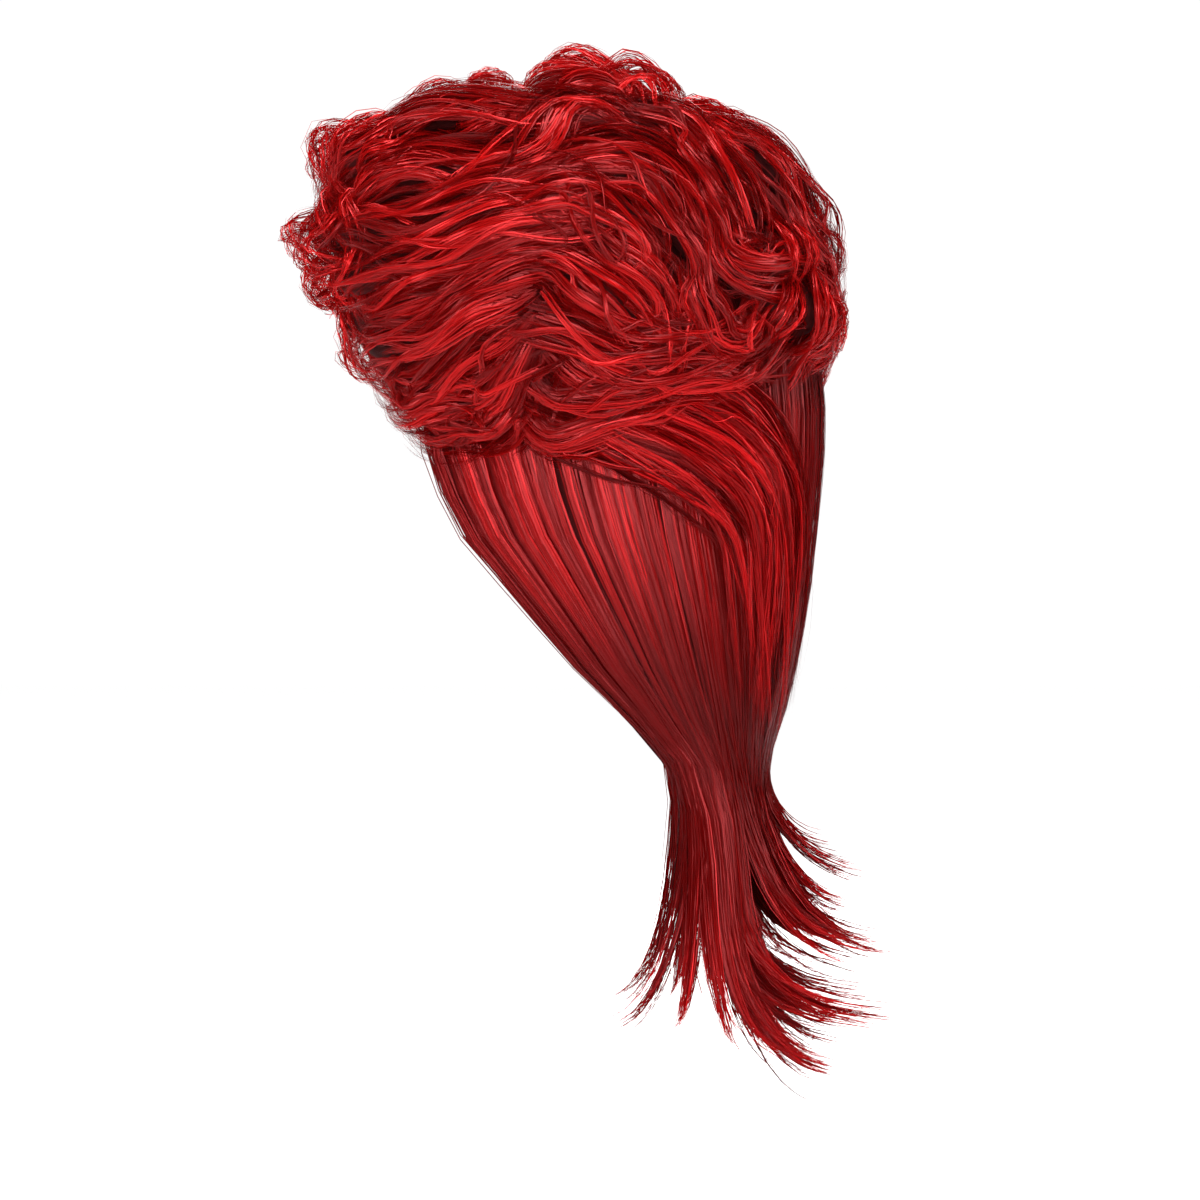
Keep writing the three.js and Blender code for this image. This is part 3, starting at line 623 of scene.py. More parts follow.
@dataclass
class HeadCap:
    """The thin netted cap, in metres, measured inside."""

    length: float = 0.196
    width: float = 0.154
    girth_drop: float = 0.112
    wall: float = 0.0018
    brow_drop: float = 0.058
    temple_drop: float = 0.120
    ear_drop: float = 0.097
    nape_drop: float = 0.162
    nape_tuck: float = 0.017
    jaw_taper: float = 0.08

    def dress(self) -> None:
        """Gives the cap of the frame its net."""
        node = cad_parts["wig_cap"]
        material = NetFinish().material()
        for slot in node.material_slots:
            slot.material = material
        LOG.info("wig_cap: keeps its form, %s", material.name)

    def edge(self, angle: Array) -> Array:
        """The drop of the cap's lower edge at angles round from the brow."""
        around = np.arccos(np.cos(angle)) / math.pi
        temple = self.brow_drop + 0.12 * (self.temple_drop - self.brow_drop)
        nape = self.ear_drop + 0.62 * (self.nape_drop - self.ear_drop)
        drops = (self.brow_drop, temple, self.temple_drop, self.ear_drop, nape, self.nape_drop)
        return np.interp(around, (0, 0.16, 0.34, 0.52, 0.72, 1), drops)

    def surface(self, angle: Array, drop: Array) -> tuple[Array, Array]:
        """Points of the head and the directions away from it.

        Args:
            angle: Angles round from the brow.
            drop: Heights below the crown.

        Returns:
            The points and the outward directions.
        """
        over = np.minimum(drop, self.girth_drop)
        level = (self.girth_drop - over) / self.girth_drop
        below = np.maximum(0, drop - self.girth_drop) / (self.nape_drop - self.girth_drop)
        size = np.sqrt(np.maximum(0, 1 - level**2)) - self.jaw_taper * below
        tuck = self.nape_tuck * below**2 * np.maximum(0, -np.cos(angle))
        x = self.width / 2 * size * np.sin(angle)
        y = -self.length / 2 * size * np.cos(angle) - tuck
        lean = (x / (self.width / 2) ** 2, y / (self.length / 2) ** 2, level / self.girth_drop)
        return np.stack([x, y, -drop], -1), unit(np.stack(lean, -1))


@dataclass(frozen=True)
class DomeLock:
    """A lock of the dome, through points that are shares of the dome's reach and height.

    Attributes:
        region: The piece that it belongs to.
        line: Its points, each [along, up], root first.
        wide: Its width as a share of a lock's.
        rise: How far it lies above the middle layer of locks, as a share of the dome.
        spread: Shares of the head's width that it is repeated at, or none for a lock on the side.
        weight: Whether it is a full lock or a loose curl.
    """

    region: Region
    line: tuple[Pair, ...]
    wide: float = 1.0
    rise: float = 0.0
    spread: tuple[float, ...] = ()
    weight: Weight = Weight.FULL


SIDE_LOCKS = (
    DomeLock(Region.SIDE, ((0.12, 0.67), (-0.1, 0.73), (-0.36, 0.75), (-0.63, 0.71), (-0.85, 0.58),
                           (-0.9, 0.36)), 0.9, 0.01),
    DomeLock(Region.SIDE, ((0.19, 0.54), (-0.06, 0.48), (-0.32, 0.43), (-0.58, 0.45), (-0.82, 0.38),
                           (-0.94, 0.28)), 1.0, 0.0),
    DomeLock(Region.SIDE, ((0.19, 0.37), (-0.03, 0.33), (-0.28, 0.28), (-0.54, 0.23), (-0.77, 0.22),
                           (-0.94, 0.15)), 1.0, 0.02),
    DomeLock(Region.SIDE, ((0.16, 0.21), (-0.03, 0.17), (-0.25, 0.1), (-0.47, 0.03), (-0.69, -0.05),
                           (-0.91, -0.09)), 1.0, 0.03),
    DomeLock(Region.SIDE, ((0.01, 0.02), (-0.14, -0.01), (-0.32, -0.06), (-0.54, -0.16), (-0.73, -0.23),
                           (-0.83, -0.14)), 0.9, 0.0),
    DomeLock(Region.SIDE, ((-0.1, -0.1), (-0.25, -0.18), (-0.41, -0.27), (-0.58, -0.35), (-0.73, -0.37),
                           (-0.83, -0.34)), 0.9, 0.02),
    DomeLock(Region.SIDE, ((-0.12, -0.2), (-0.25, -0.31), (-0.38, -0.43), (-0.53, -0.52), (-0.68, -0.54),
                           (-0.81, -0.43)), 0.9, 0.01),
    DomeLock(Region.SIDE, ((-0.12, -0.29), (-0.21, -0.46), (-0.34, -0.57), (-0.47, -0.6), (-0.61, -0.6),
                           (-0.7, -0.53)), 0.9, 0.03),
    DomeLock(Region.SIDE, ((-0.08, -0.4), (-0.14, -0.56), (-0.25, -0.68), (-0.38, -0.76), (-0.51, -0.74),
                           (-0.62, -0.6)), 0.9, 0.0),
    DomeLock(Region.SIDE, ((-0.32, 0.17), (-0.14, 0.26), (0.05, 0.27), (0.2, 0.18), (0.26, 0.0),
                           (0.21, -0.15)), 0.9, 0.04),
    DomeLock(Region.SIDE, ((-0.17, 0.35), (0.05, 0.47), (0.27, 0.45), (0.43, 0.26), (0.5, 0.0),
                           (0.46, -0.27)), 1.1, 0.03),
    DomeLock(Region.SIDE, ((-0.25, -0.01), (-0.03, -0.02), (0.14, -0.15), (0.3, -0.33), (0.49, -0.35),
                           (0.68, -0.2)), 1.0, 0.01),
    DomeLock(Region.SIDE, ((-0.17, -0.19), (0.01, -0.3), (0.19, -0.4), (0.41, -0.4), (0.62, -0.34),
                           (0.83, -0.27)), 1.0, 0.03),
    DomeLock(Region.SIDE, ((-0.12, -0.33), (0.05, -0.47), (0.27, -0.52), (0.56, -0.45), (0.79, -0.37),
                           (1.01, -0.32)), 1.0, 0.0),
    DomeLock(Region.SIDE, ((-0.17, -0.48), (-0.03, -0.6), (0.21, -0.55), (0.45, -0.53), (0.71, -0.53),
                           (0.95, -0.5)), 0.9, 0.02),
    DomeLock(Region.SIDE, ((-0.23, -0.63), (-0.08, -0.74), (0.12, -0.73), (0.3, -0.65), (0.45, -0.58),
                           (0.64, -0.56)), 0.8, 0.0),
    DomeLock(Region.SIDE, ((0.07, 0.12), (0.19, 0.03), (0.34, -0.17), (0.36, -0.38), (0.27, -0.47),
                           (0.12, -0.45)), 0.8, 0.0),
    DomeLock(Region.CROWN, ((0.27, 0.62), (0.12, 0.71), (-0.03, 0.64), (-0.14, 0.47), (-0.36, 0.36),
                            (-0.55, 0.39)), 0.8, 0.02),
    DomeLock(Region.CROWN, ((0.19, 0.77), (0.42, 0.7), (0.54, 0.49), (0.62, 0.23), (0.73, 0.05),
                            (0.86, -0.12)), 1.0, 0.01),
    DomeLock(Region.BACK, ((0.45, 0.72), (0.66, 0.66), (0.81, 0.44), (0.92, 0.21), (1.01, 0.03),
                           (1.04, -0.16)), 1.0, 0.0),
    DomeLock(Region.BACK, ((0.49, 0.38), (0.53, 0.17), (0.61, 0.01), (0.75, -0.04), (0.86, 0.03),
                           (0.91, 0.14)), 0.8, 0.03),
    DomeLock(Region.BACK, ((0.45, 0.03), (0.47, -0.16), (0.55, -0.29), (0.67, -0.29), (0.77, -0.17),
                           (0.82, -0.08)), 0.8, 0.02),
    DomeLock(Region.BACK, ((0.97, 0.05), (1.0, -0.11), (0.99, -0.31), (0.94, -0.47), (0.85, -0.56),
                           (0.74, -0.6)), 0.8, 0.0),
)

RIM_LOCKS = (
    DomeLock(Region.FRINGE, ((-0.47, 0.69), (-0.72, 0.74), (-0.96, 0.64), (-0.93, 0.36)),
             0.7, -0.05, (0.0, 0.2, 0.4, 0.58)),
    DomeLock(Region.FRINGE, ((-0.56, 0.4), (-0.81, 0.42), (-1, 0.28), (-0.97, 0.06)),
             0.7, -0.04, (0.1, 0.3, 0.5)),
    DomeLock(Region.FRINGE, ((-0.5, 0.04), (-0.77, 0), (-0.83, -0.24), (-0.76, -0.5)),
             0.7, -0.03, (0.0, 0.2, 0.4, 0.58)),
    DomeLock(Region.CROWN, ((-0.03, 0.73), (-0.25, 0.87), (-0.47, 0.84), (-0.66, 0.71)),
             0.8, -0.05, (0.0, 0.2, 0.4, 0.6)),
    DomeLock(Region.CROWN, ((-0.25, 0.8), (-0.05, 1), (0.22, 0.99), (0.46, 0.78)),
             0.8, -0.06, (0.1, 0.3, 0.5)),
    DomeLock(Region.CROWN, ((0.29, 0.72), (0.52, 0.76), (0.73, 0.63), (0.86, 0.34)),
             0.8, -0.03, (0.0, 0.2, 0.4, 0.6)),
    DomeLock(Region.BACK, ((0.62, 0.57), (0.82, 0.35), (0.98, 0.07), (1, -0.18)),
             0.8, -0.02, (0.1, 0.3, 0.5)),
    DomeLock(Region.BACK, ((0.8, 0.1), (0.98, -0.08), (1, -0.32), (0.95, -0.56)),
             0.8, -0.01, (0.0, 0.2, 0.4, 0.6)),
)

def loose_curl(region: Region, spread: tuple[float, ...], *line: Pair) -> DomeLock:
    """A thin loose curl of the outline, repeated across the head."""
    return DomeLock(region, line, 0.42, 0.0, spread, Weight.LOOSE)


LOOSE_CURLS = (
    loose_curl(Region.FRINGE, (0.0, 0.24, 0.46),
               (-0.76, 0.61), (-0.86, 0.73), (-0.99, 0.7), (-1.02, 0.52), (-0.95, 0.35)),
    loose_curl(Region.FRINGE, (0.1, 0.34, 0.55),
               (-0.71, 0.56), (-0.8, 0.67), (-0.9, 0.61), (-0.93, 0.44), (-0.88, 0.3)),
    loose_curl(Region.FRINGE, (0.0, 0.2, 0.42),
               (-0.86, 0.27), (-0.99, 0.29), (-1.07, 0.2), (-1.04, 0.07), (-0.9, 0.07)),
    loose_curl(Region.FRINGE, (0.12, 0.3, 0.5),
               (-0.84, 0.05), (-0.96, 0.05), (-1.01, -0.06), (-0.91, -0.11), (-0.8, -0.06)),
    loose_curl(Region.FRINGE, (0.0, 0.22, 0.44),
               (-0.76, -0.1), (-0.87, -0.16), (-0.88, -0.33), (-0.82, -0.47), (-0.68, -0.52)),
    loose_curl(Region.FRINGE, (0.5, 0.66),
               (-0.55, -0.35), (-0.7, -0.42), (-0.71, -0.52), (-0.6, -0.62), (-0.45, -0.7)),
    loose_curl(Region.CROWN, (0.0, 0.22, 0.44),
               (-0.76, 0.61), (-0.71, 0.77), (-0.55, 0.89), (-0.41, 0.89), (-0.26, 0.79)),
    loose_curl(Region.CROWN, (0.1, 0.3, 0.52),
               (-0.5, 0.76), (-0.38, 0.93), (-0.29, 0.97), (-0.19, 0.91), (-0.09, 0.8)),
    loose_curl(Region.CROWN, (0.0, 0.2, 0.4),
               (-0.22, 0.76), (-0.13, 0.99), (0.04, 1.08), (0.19, 1.03), (0.33, 0.89)),
    loose_curl(Region.CROWN, (0.1, 0.32, 0.5),
               (0.04, 0.85), (0.2, 1.04), (0.36, 0.97), (0.46, 0.8), (0.53, 0.66)),
    loose_curl(Region.CROWN, (0.2, 0.4),
               (-0.84, 0.42), (-0.83, 0.61), (-0.75, 0.72), (-0.63, 0.76), (-0.5, 0.72)),
    loose_curl(Region.BACK, (0.0, 0.22, 0.44),
               (0.42, 0.68), (0.53, 0.78), (0.67, 0.74), (0.8, 0.58), (0.87, 0.35)),
    loose_curl(Region.BACK, (0.1, 0.32),
               (0.75, 0.54), (0.86, 0.4), (0.94, 0.2), (0.99, 0.02), (0.97, -0.14)),
    loose_curl(Region.BACK, (0.0, 0.2, 0.44),
               (0.83, 0.42), (0.92, 0.25), (0.98, 0.06), (0.99, -0.1), (0.93, -0.28)),
)


@dataclass(frozen=True)
class DomePiece:
    """One piece of the dome, with the room that its bed fills and the strands that it takes.

    Attributes:
        name: Name of the piece.
        node: The node that it stands for.
        region: The locks that it takes.
        side: The side it is on, or none for a piece on both.
        strands: Strands in each wisp.
        wisps: Wisps in each lock.
        strays: Thin locks that stray from each of its locks on the side.
        low: Lowest corner of its bed.
        high: Highest corner of its bed.
    """

    name: str
    node: str
    region: Region
    side: Side | None
    strands: int
    wisps: int
    strays: int
    low: tuple[float, float, float]
    high: tuple[float, float, float]


@dataclass
class CurlDome:
    """The high dome of curls round the cap, in metres."""

    cap: HeadCap
    front: float = 0.152
    back: float = 0.153
    top: float = 0.122
    skirt: float = 0.130
    side: float = 0.118
    setback: float = 0.013
    middle_drop: float = 0.025
    lock_width: float = 0.038
    lock_depth: float = 0.017
    lock_lift: float = 0.94
    skirt_share: float = 0.78
    bed_share: float = 0.84
    bed_thinnest: float = 0.004
    overhang: float = 0.004
    lock_waves: float = 2.3
    lock_sway: float = 0.018
    lock_swell: float = 0.014
    rim_sway: float = 0.085
    rim_pace: float = 0.7
    core_share: float = 0.36
    core_sink: float = 0.34
    brow_tuck: float = 0.03
    nape_tuck: float = 0.075
    loose_sink: float = 0.025
    stray_sink: float = 0.96
    fringe_line: float = 0.072
    side_line: float = 0.046
    back_line: float = 0.058

    def point(self, along: Array, up: Array, across: Array, lift: Array) -> Array:
        """A point of the dome from its shares along, up and across, at a share of its full size."""
        reach = np.where(along < 0, self.front, self.back)
        height = np.where(up < 0, self.skirt, self.top)
        return np.stack([
            self.side * across * lift,
            self.setback + reach * along * lift,
            -self.middle_drop + height * up * lift,
        ], axis=-1)

    def route(self, line: Array, across: float, on_side: bool, rise: float, phase: float) -> Route:
        """The route of a lock on the dome.

        Args:
            line: Points of the lock, each [along, up].
            across: The side of the head, or the share of its width for a lock on the rim.
            on_side: Whether the lock lies on the side of the head.
            rise: How far it lies above the middle layer of locks.
            phase: Where its wave starts, in radians.

        Returns:
            The lock's route.
        """
        share = np.linspace(0, 1, 49)
        flat = smooth_line(line, share)
        ahead = unit(np.gradient(flat, axis=0))
        wave = 2 * math.pi * self.lock_waves * share + phase
        sway = self.lock_sway * np.sin(wave) * smoothstep(share / 0.3)
        x, y = flat[:, 0] - ahead[:, 1] * sway, flat[:, 1] + ahead[:, 0] * sway
        narrowing = 1.0 if on_side else math.sqrt(1 - across**2)
        bulge = np.sqrt(np.clip(1 - x**2 - y**2, 0, None))
        skirt = np.where(y < 0, self.skirt_share * np.sqrt(np.clip(1 - x**2, 0, None)), 0.2)
        rim = across + self.rim_sway * np.sin(self.rim_pace * wave + phase) * smoothstep(share / 0.25)
        sides = across * np.maximum(bulge, skirt) if on_side else rim
        low = smoothstep((-y - 0.15) / 0.35) * smoothstep((np.abs(x) - 0.55) / 0.35)
        lift = self.lock_lift - 0.05 + rise + 0.05 * np.sin(math.pi * np.clip(share * 0.9 + 0.1, 0, 1))
        lift = lift - np.where(x < 0, self.brow_tuck, self.nape_tuck) * low
        lift = lift + self.lock_swell * np.cos(wave)
        place = self.point(x * narrowing, y * narrowing, sides, lift)
        outward = np.stack([sides / self.side, x * narrowing / self.front, y * narrowing / self.top], -1)
        return Route.along(place, unit(outward))

    def reach_of_bed(self, points: Array, directions: Array) -> Array:
        """How far rays from points run before they leave the bed."""
        near = np.zeros(points.shape[:-1])
        far = np.full(points.shape[:-1], self.front + self.back)
        for _ in range(18):
            middle = (near + far) / 2
            at = points + directions * middle[..., None]
            y, z = at[..., 1] - self.setback, at[..., 2] + self.middle_drop
            shares = np.stack([
                at[..., 0] / self.side,
                y / np.where(y < 0, self.front, self.back),
                z / np.where(z < 0, self.skirt, self.top),
            ], -1)
            inside = np.linalg.norm(shares, axis=-1) < self.bed_share
            near, far = np.where(inside, middle, near), np.where(inside, far, middle)
        return near

    def bed(self) -> tuple[Array, Array]:
        """The bed that the locks lie on, as the points and faces of a closed wall."""
        around, rows = 96, 40
        angle = np.broadcast_to(np.linspace(0, 2 * math.pi, around, endpoint=False)[None], (rows, around))
        down = 1 - np.cos(np.linspace(0.01, 1, rows)[:, None] * math.pi / 2)
        drop = down * (self.cap.edge(angle) + self.overhang)
        points, normals = self.cap.surface(angle, drop)
        stand = self.cap.wall + 0.0003
        thick = np.maximum(stand + self.bed_thinnest, self.reach_of_bed(points, normals))
        outer = points + normals * thick[..., None]
        inner = points + normals * stand
        wall = np.concatenate([outer, inner[::-1]])
        total = len(wall)
        upper = np.arange(total - 1)[:, None] * around
        left = np.arange(around)[None]
        right = (left + 1) % around
        quads = np.stack([upper + left, upper + around + left, upper + around + right, upper + right], -1)
        return wall.reshape(-1, 3), quads.reshape(-1, 4)

    def add_bed(self, mesh: HairMesh, piece: DomePiece) -> None:
        """Adds the part of the bed that lies in a piece's room."""
        points, quads = self.bed()
        middle = points[quads].mean(axis=1)
        mine = np.all((middle > np.array(piece.low)) & (middle < np.array(piece.high)), axis=1)
        used, places = np.unique(quads[mine], return_inverse=True)
        # The bed is dark, as painted shade between and under the locks.
        mesh.add_faces(points[used], places.reshape(-1, 4), BED_PAINTED_SHADE)

    def add_core(self, mesh: HairMesh, route: Route, width: float) -> None:
        """Adds the heart of a lock, under its strands, dark as painted shade."""
        share = np.linspace(0, 0.97, 13)
        place, aside, out = route.at(share)
        size = np.interp(share, (0, 0.1, 0.3, 0.62, 1), (0.1, 0.6, 1, 1, 0.1))[:, None, None]
        turn = np.linspace(0, 2 * math.pi, CORE_SIDES, endpoint=False)[None, :, None]
        ring = (place - out * self.lock_depth * self.core_sink)[:, None]
        ring = ring + aside[:, None] * np.cos(turn) * width * self.core_share * size
        ring = ring + out[:, None] * np.sin(turn) * self.lock_depth * self.core_share * size
        mesh.add_grid(ring, CORE_PAINTED_SHADE, wrap=True)

    def locks(self, piece: DomePiece, rng: np.random.Generator) -> list[tuple[Route, DomeLock]]:
        """The routes of a piece's locks, each with the lock that it is for."""
        found = []
        sides = [piece.side] if piece.side else list(Side)
        for lock in SIDE_LOCKS:
            if lock.region is not piece.region:
                continue
            for side in sides:
                loose = rng.normal(0, 0.006 if side is Side.LEFT else 0.03, (len(lock.line), 2))
                line = np.array(lock.line) + loose
                phase = rng.uniform(0, 2 * math.pi)
                found.append((self.route(line, side.value, True, lock.rise, phase), lock))
                for _ in range(piece.strays):
                    shift = rng.normal(0, 0.04, 2) + rng.normal(0, 0.035, (len(lock.line), 2))
                    bent = line * self.stray_sink + shift
                    bent = bent / np.maximum(np.linalg.norm(bent, axis=1, keepdims=True), 1)
                    rise = lock.rise + rng.uniform(0.0, 0.04)
                    phase = rng.uniform(0, 2 * math.pi)
                    route = self.route(bent, side.value, True, rise, phase)
                    found.append((route, self.stray_lock(lock)))
        for lock in RIM_LOCKS + LOOSE_CURLS:
            if lock.region is not piece.region:
                continue
            rise = lock.rise - self.loose_sink * (lock.weight is Weight.LOOSE)
            for share in lock.spread:
                for across in ((0.0,) if share == 0 else (share, -share)):
                    line = np.array(lock.line) + rng.normal(0, 0.02, (len(lock.line), 2))
                    phase = rng.uniform(0, 2 * math.pi)
                    found.append((self.route(line, across, False, rise, phase), lock))
        return found

    def stray_lock(self, lock: DomeLock) -> DomeLock:
        """A thinner lock that has come loose from a full one and lies over it."""
        return DomeLock(lock.region, lock.line, 0.5, lock.rise, (), Weight.STRAY)

    def comb_of(self, lock: DomeLock, piece: DomePiece) -> Comb:
        """How a lock of a piece is combed out.

        Args:
            lock: The lock.
            piece: The piece that it belongs to.

        Returns:
            Its comb.
        """
        width = self.lock_width * lock.wide
        # Loose curls, strays and the rim locks are lifted in the lock's height, as painted light.
        if lock.weight is Weight.LOOSE:
            return Comb(wisps=4, strands=10, width=width, depth=self.lock_depth / 2, root_share=0.9,
                        wisp_radius=0.002, wave=0.0015, frizz=0.0009, fibre=0.0005, shortest=0.85,
                        twist=0.9, bright=0.45)
        if lock.weight is Weight.STRAY:
            return Comb(wisps=3, strands=14, width=width, depth=self.lock_depth / 2, root_share=0.7,
                        tip_share=0.5, wisp_radius=0.0024, wave=0.006, waves=1.5, frizz=0.0005,
                        fibre=0.00055, shortest=0.6, twist=0.25, bright=0.08)
        return Comb(wisps=piece.wisps, strands=piece.strands, width=width * 0.92, depth=self.lock_depth,
                    wave=0.003, frizz=0.0005, twist=0.65 if lock.spread else 0.18,
                    bright=0.12 if lock.spread else 0.0)

    def make(self, piece: DomePiece, material: bpy.types.Material, seed: int) -> bpy.types.Object:
        """Builds one piece of the dome.

        Args:
            piece: The piece to build.
            material: Its finish.
            seed: The seed of its chance.

        Returns:
            The finished piece.
        """
        rng = np.random.default_rng(seed)
        mesh = HairMesh(piece.name)
        self.add_bed(mesh, piece)
        for route, lock in self.locks(piece, rng):
            if lock.weight is Weight.FULL:
                self.add_core(mesh, route, self.lock_width * lock.wide)
            mesh.add_strands(comb_out(route, self.comb_of(lock, piece), rng))
        return mesh.make(material, Slot.CURLY, (piece.node,))

    def pieces(self) -> tuple[DomePiece, ...]:
        """The pieces of the dome, in order."""
        far, side, fringe, back = 9.0, self.side_line, self.fringe_line, self.back_line
        return (
            DomePiece("left_side_curls", "side_curls_left", Region.SIDE, Side.LEFT, 17, 12, 3,
                      (side, -fringe, -far), (far, back, far)),
            DomePiece("right_side_curls", "side_curls_right", Region.SIDE, Side.RIGHT, 11, 11, 1,
                      (-far, -fringe, -far), (-side, back, far)),
            DomePiece("top_curls", "crown_curls", Region.CROWN, None, 13, 12, 3,
                      (-side, -fringe, -far), (side, back, far)),
            DomePiece("brow_curls", "fringe_curls", Region.FRINGE, None, 13, 10, 0,
                      (-far, -far, -far), (far, -fringe, far)),
            DomePiece("nape_curls", "back_curls", Region.BACK, None, 12, 11, 3,
                      (-far, back, -far), (far, far, far)),
        )


FRONT_DEGREES = 34.0
BACK_DEGREES = 90.0
WHOLE_TURN = FRONT_DEGREES + BACK_DEGREES


@dataclass(frozen=True)
class Flick:
    """A flick of the tail.

    Attributes:
        turn: Where it stands round the fall, in degrees, 0 at the side and 90 at the back.
        swing: How far its tip swings back, as a share of its layer's reach.
        drop: How far it hangs, as a share of its layer's drop.
        full: Whether it has a heart dark with painted shade; a thin one has none.
        bend: How late it swings out.
    """

    turn: float
    swing: float
    drop: float
    full: bool = True
    bend: float = 2.4


@dataclass(frozen=True)
class FlickLayer:
    """A layer of flicks, in metres, with its columns.

    Attributes:
        drop: How far its longest flick hangs below the waist.
        reach: How far its tips swing out.
        inset: How far it stands inside the fall.
        root: How far below the waist its flicks part, or above it below zero.
        flicks: Its flicks, from the middle of the back to the front edge.
    """

    drop: float
    reach: float
    inset: float
    root: float
    flicks: tuple[Flick, ...]


OUTER_FLICKS = FlickLayer(0.092, 0.062, -0.003, -0.050, (
    Flick(90, 0.96, 0.84), Flick(84, 0.64, 0.28, False), Flick(78, 0.92, 0.42, False), Flick(66, 0.8, 0.62),
    Flick(52, 1.2, 0.86), Flick(36, 0.85, 0.78), Flick(20, 1.35, 1.22, bend=4.0),
    Flick(10, 0.95, 1.48, bend=3.0), Flick(2, 0.62, 1.42, bend=3.0), Flick(-5, 0.3, 1.36, False),
    Flick(-11, -0.2, 1.25, False), Flick(-17, -0.68, 1.28, False),
))
UPPER_FLICKS = FlickLayer(0.118, 0.084, 0.006, 0.0, (
    Flick(90, 0.9, 0.66), Flick(72, 1.02, 0.98, bend=4.0), Flick(54, 0.9, 0.68),
    Flick(36, 0.9, 0.96, bend=4.0), Flick(18, 0.9, 1.0, bend=4.0),
))
LOWER_FLICKS = FlickLayer(0.152, 0.070, 0.016, -0.030, (
    Flick(90, 0.86, 0.86, bend=3.0), Flick(66, 0.8, 0.97, bend=3.0), Flick(42, 0.94, 0.82, bend=3.0),
    Flick(20, 0.85, 0.92, bend=3.0), Flick(0, 0.6, 0.86),
))


@dataclass(frozen=True)
class FallPiece:
    """One piece of the straight hair: its share of the way round, its flicks and its strands.

    Attributes:
        name: Name of the piece.
        node: The node that it stands for.
        slot: The material slot that it takes its finish from.
        start: Where it starts, round from the left front edge (0) by the back (1) to the right (2).
        stop: Where it stops.
        layer: The flicks that its strands run out in.
        wisps: Wisps in the piece.
        strands: Strands in each wisp.
        first_drop: How far below the crown its strands start.
        loose: How far a wisp spreads over its neighbours, in gaps between wisps.
        tone: Height in the hair of its outermost strands, which the finish paints as light and shade.
        backed: Whether a sheet dark with painted shade lies behind its strands.
    """

    name: str
    node: str
    slot: Slot
    start: float
    stop: float
    layer: FlickLayer
    wisps: int
    strands: int
    first_drop: float
    loose: float
    tone: float
    backed: bool


SWEPT_POINTS = 49


@dataclass(frozen=True)
class Drape:
    """How the strands of the straight hair lie in their wisps, in metres, radians and shares.

    Attributes:
        drift: How far a wisp strays round the fall from its place.
        spread: How widely strands spread over their wisp.
        widest: The most that one strand spreads.
        short_wisps: Share of the wisps that end early on their flick.
        short_ends: Between which shares of the flick they end.
        frayed: Share of the flick that the shortest strands of other wisps leave out.
        gathered: How much narrower a wisp is at the waist.
        sway: How far a strand sways round the fall.
        waver: How far it wavers in depth.
        skin: Depth of the outermost strands.
        layer: Depth of the layer of strands under them.
        flick_share: Share of a flick's width that its strands take.
        pointed: Share of that width that is gone at the tip.
        lean: How far strands' flat sides lean at random.
        roll: How far they lean across a wisp.
        tip_lean: How far they lean at random at the tip.
        painted_hollow_shade: How much deeper in tone the inner strands are, as painted shade.
        waist_shade: Share of the tone that is lost at the waist, as painted shade.
        painted_tip_glow: Tone that the tips gain, as painted light coming through the thin tips.
        fibre: Width of a strand.
    """

    drift: float = 0.004
    spread: float = 0.5
    widest: float = 1.2
    short_wisps: float = 0.15
    short_ends: Pair = (0.05, 0.6)
    frayed: float = 0.2
    gathered: float = 0.55
    sway: float = 0.0035
    waver: float = 0.0006
    skin: float = 0.001
    layer: float = 0.006
    flick_share: float = 0.24
    pointed: float = 0.95
    lean: float = 0.14
    roll: float = 0.25
    tip_lean: float = 0.9
    painted_hollow_shade: float = 0.55
    waist_shade: float = 0.5
    painted_tip_glow: float = 0.4
    fibre: float = 0.0006


